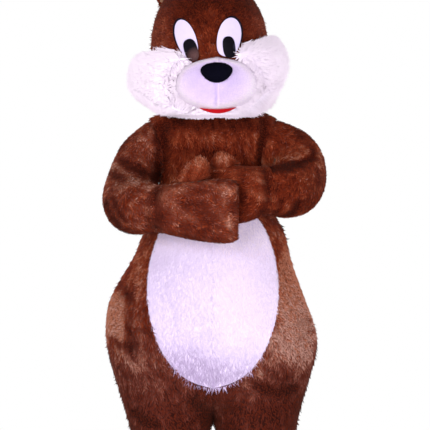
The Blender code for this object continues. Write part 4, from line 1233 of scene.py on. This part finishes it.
def bead(name, size):
    """A small rounded block, the pattern of teeth and stitches."""
    bpy.ops.mesh.primitive_cube_add(size=1.0)
    made = bpy.context.object
    made.name = made.data.name = name
    made.data.transform(Matrix.Diagonal((*size, 1.0)))
    bevel = made.modifiers.new("bevel", "BEVEL")
    bevel.width, bevel.segments = 0.35 * min(size), 1
    bpy.ops.object.modifier_apply(modifier=bevel.name)
    return made


def repeated(name, pattern, spots, finish):
    """Copies of a pattern as one piece, each at a point with its own axes along x, y and z."""
    shape = points_of(pattern.data)
    faces = [list(face.vertices) for face in pattern.data.polygons]
    points = np.concatenate([np.array(place) + shape @ np.array(axes) for place, axes in spots])
    copied = [[index + len(shape) * turn for index in face] for turn in range(len(spots)) for face in faces]
    mesh = bpy.data.meshes.new(name)
    mesh.from_pydata(points.tolist(), [], copied)
    mesh.update()
    mesh.materials.append(FINISHES[finish])
    piece = placed(name, mesh)
    bpy.data.objects.remove(pattern)
    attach(piece, "root")
    return piece


def on_tape(x, z):
    """A place on the zip's tape with axes across it, along it and out of it."""
    place, normal, _, _ = TAPE.ray_cast(Vector((x, 1.0, z)), Vector((0.0, -1.0, 0.0)))
    across = Vector((1.0, 0.0, 0.0))
    along = normal.cross(across).normalized()
    return place, (across, along, across.cross(along))


def round_sole(node):
    """Places for the stitches round the side of a sole."""
    tree = tree_of([NODES[node]])
    x, y, z = WELT_MIDDLE
    middle = Vector((x if node.endswith("left") else -x, y, z))
    found = []
    for turn in np.linspace(0, 2 * math.pi, WELT_TURNS, endpoint=False):
        way = Vector((math.cos(turn), math.sin(turn), 0.0))
        place, normal, _, _ = tree.ray_cast(middle + way * 0.5, -way)
        if place is None or (found and (place - found[-1][0]).length < WELT_PITCH):
            continue
        along = UP_WAY.cross(normal).normalized()
        found.append((place, (along, normal.cross(along), normal)))
    return found


UP_WAY = Vector((0.0, 0.0, 1.0))
TAPE = tree_of([SKINS["zip_tape"]])
ZIP_TOP, ZIP_LOW = -0.040, -0.640
TOOTH_PITCH, TOOTH_SHIFT = 0.0032, 0.0011
STITCH_TOP, STITCH_PITCH, STITCH_SHIFT, STITCH_TURNS = -0.020, 0.005, 0.0104, 125
WELT_MIDDLE, WELT_PITCH, WELT_TURNS = (0.138, -0.085, -1.460), 0.009, 1440
teeth = [
    on_tape(TOOTH_SHIFT * (-1) ** turn, ZIP_TOP - turn * TOOTH_PITCH)
    for turn in range(int((ZIP_TOP - ZIP_LOW) / TOOTH_PITCH))
]
repeated("zip_teeth", bead("tooth", (0.0042, 0.0018, 0.0016)), teeth, "coil")
stitches = [
    on_tape(side * STITCH_SHIFT, STITCH_TOP - turn * STITCH_PITCH)
    for turn in range(STITCH_TURNS)
    for side in (-1, 1)
]
repeated("zip_stitches", bead("stitch", (0.0009, 0.0036, 0.0008)), stitches, "thread")
for sole_node in ("sole_left", "sole_right"):
    welt = round_sole(sole_node)
    repeated(f"{sole_node}_stitches", bead("stitch", (0.0055, 0.0012, 0.0010)), welt, "thread")

for metal_node in ("zip_slider", "zip_pull"):
    metal_mesh = NODES[metal_node].data
    metal_mesh.materials.clear()
    metal_mesh.materials.append(FINISHES["metal"])

# Cut of each cloth piece: width, length and area of one layer in metres, and how it is held
CUTS = by_solid((
    ("suit_front_left", WHOLE, 0.44, 1.46, 0.43, "hung"),
    ("suit_front_right", WHOLE, 0.44, 1.46, 0.44, "hung"),
    ("suit_back_left", WHOLE, 0.50, 1.46, 0.51, "hung"),
    ("suit_back_right", WHOLE, 0.50, 1.46, 0.52, "hung"),
    ("belly", SIDES, 0.22, 0.64, 0.108, "stretched"),
    ("sleeve_left", WHOLE, 0.54, 0.44, 0.215, "hung"),
    ("sleeve_right", WHOLE, 0.54, 0.47, 0.233, "hung"),
    ("mitt_left", WHOLE, 0.48, 0.26, 0.095, "stretched"),
    ("mitt_right", WHOLE, 0.52, 0.29, 0.113, "stretched"),
    ("thumb_left", WHOLE, 0.20, 0.06, 0.0085, "stretched"),
    ("thumb_right", WHOLE, 0.22, 0.09, 0.014, "stretched"),
    ("foot", SIDES, 0.60, 0.30, 0.105, "stretched"),
    ("chin", WHOLE, 0.24, 0.07, 0.0105, "stretched"),
    ("ear_lining", SIDES, 0.11, 0.33, 0.0232, "stretched"),
    ("eye_white_left", WHOLE, 0.076, 0.130, 0.0077, "laid"),
    ("eye_white_right", WHOLE, 0.062, 0.132, 0.0068, "laid"),
    ("eye_edge", SIDES, 0.020, 0.130, 0.0013, "laid"),
    ("pupil_left", WHOLE, 0.042, 0.074, 0.0024, "laid"),
    ("pupil_right", WHOLE, 0.044, 0.078, 0.0027, "laid"),
    ("mouth", WHOLE, 0.115, 0.022, 0.0018, "laid"),
    ("zip_tape", WHOLE, 0.026, 0.720, 0.0187, "laid"),
))
# Foam-backed and stuffed pieces, and how full they are
FILLS = by_solid((
    ("head", HALVES, 0.9),
    ("ear", SIDES, 0.7),
    ("cheek", SIDES, 0.8),
    ("muzzle", SIDES, 0.9),
    ("nose", WHOLE, 0.9),
))
for cut_node, (cut_width, cut_length, cut_area, held) in CUTS.items():
    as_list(PILE_PIECES.get(cut_node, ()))

# Lamps: place, size, power in watts and colour
LAMPS = {
    "key": ((-1.7, -4.2, 0.25), 2.4, 128.0, (1.0, 0.93, 0.98)),
    "fill": ((1.5, -4.4, -0.8), 2.4, 130.0, (1.0, 0.92, 1.0)),
    "edge_left": ((-3.0, 1.5, 0.6), 1.8, 55.0, (1.0, 0.94, 1.0)),
    "edge_right": ((3.0, 1.5, 0.6), 1.8, 55.0, (1.0, 0.94, 1.0)),
}
LAMP_AIM = Vector((0.0, 0.0, -0.4))
SKY_STRENGTH = 0.40
FLOOR_HEIGHT = -1.4703
FLOOR_RADIUS = 2.3
CAMERA_PLACE = (0.0064, -4.5, -0.3136)
VIEW_WIDTH = 1.376
SENSOR_WIDTH = 36.0


def hang_lamp(name, place, size, power, colour):
    lamp = bpy.data.lights.new(name, "AREA")
    lamp.shape, lamp.size, lamp.energy, lamp.color = "DISK", size, power, colour
    holder = placed(name, lamp)
    holder.location = place
    holder.rotation_euler = (LAMP_AIM - Vector(place)).to_track_quat("-Z", "Y").to_euler()


def make_sky():
    """A white world: full strength behind the costume, weaker as light on it."""
    world = bpy.data.worlds.new("studio")
    bpy.context.scene.world = world
    world.use_nodes = True
    sky = world.node_tree.nodes["Background"]
    seen = world.node_tree.nodes.new("ShaderNodeLightPath")
    strength = world.node_tree.nodes.new("ShaderNodeMath")
    strength.operation = "MULTIPLY_ADD"
    strength.inputs[1].default_value = 1.0 - SKY_STRENGTH
    strength.inputs[2].default_value = SKY_STRENGTH
    world.node_tree.links.new(seen.outputs["Is Camera Ray"], strength.inputs[0])
    world.node_tree.links.new(strength.outputs[0], sky.inputs["Strength"])
    sky.inputs["Color"].default_value = (1.0, 1.0, 1.0, 1.0)


def make_floor():
    middle = (0.0, 0.0, FLOOR_HEIGHT)
    bpy.ops.mesh.primitive_circle_add(vertices=96, radius=FLOOR_RADIUS, fill_type="NGON", location=middle)
    floor = bpy.context.object
    floor.name = "studio_floor"
    pale = Finish("pale_floor", Roughness=0.8)
    speck = pale.noise(3.0)
    pale.colour(speck, (0.86, 0.855, 0.86), (0.90, 0.895, 0.90))
    floor.data.materials.append(pale.material)


def make_camera():
    """A camera level with the waist, as far off as the picture's perspective asks."""
    lens = bpy.data.cameras.new("studio_camera")
    lens.sensor_width = SENSOR_WIDTH
    lens.lens = SENSOR_WIDTH * -CAMERA_PLACE[1] / VIEW_WIDTH
    camera = placed("studio_camera", lens)
    camera.location = CAMERA_PLACE
    camera.rotation_euler = (math.radians(90), 0.0, 0.0)
    bpy.context.scene.camera = camera


for lamp_name, lamp_row in LAMPS.items():
    hang_lamp(lamp_name, *lamp_row)
make_sky()
make_floor()
make_camera()
bpy.context.scene.view_settings.view_transform = "Standard"
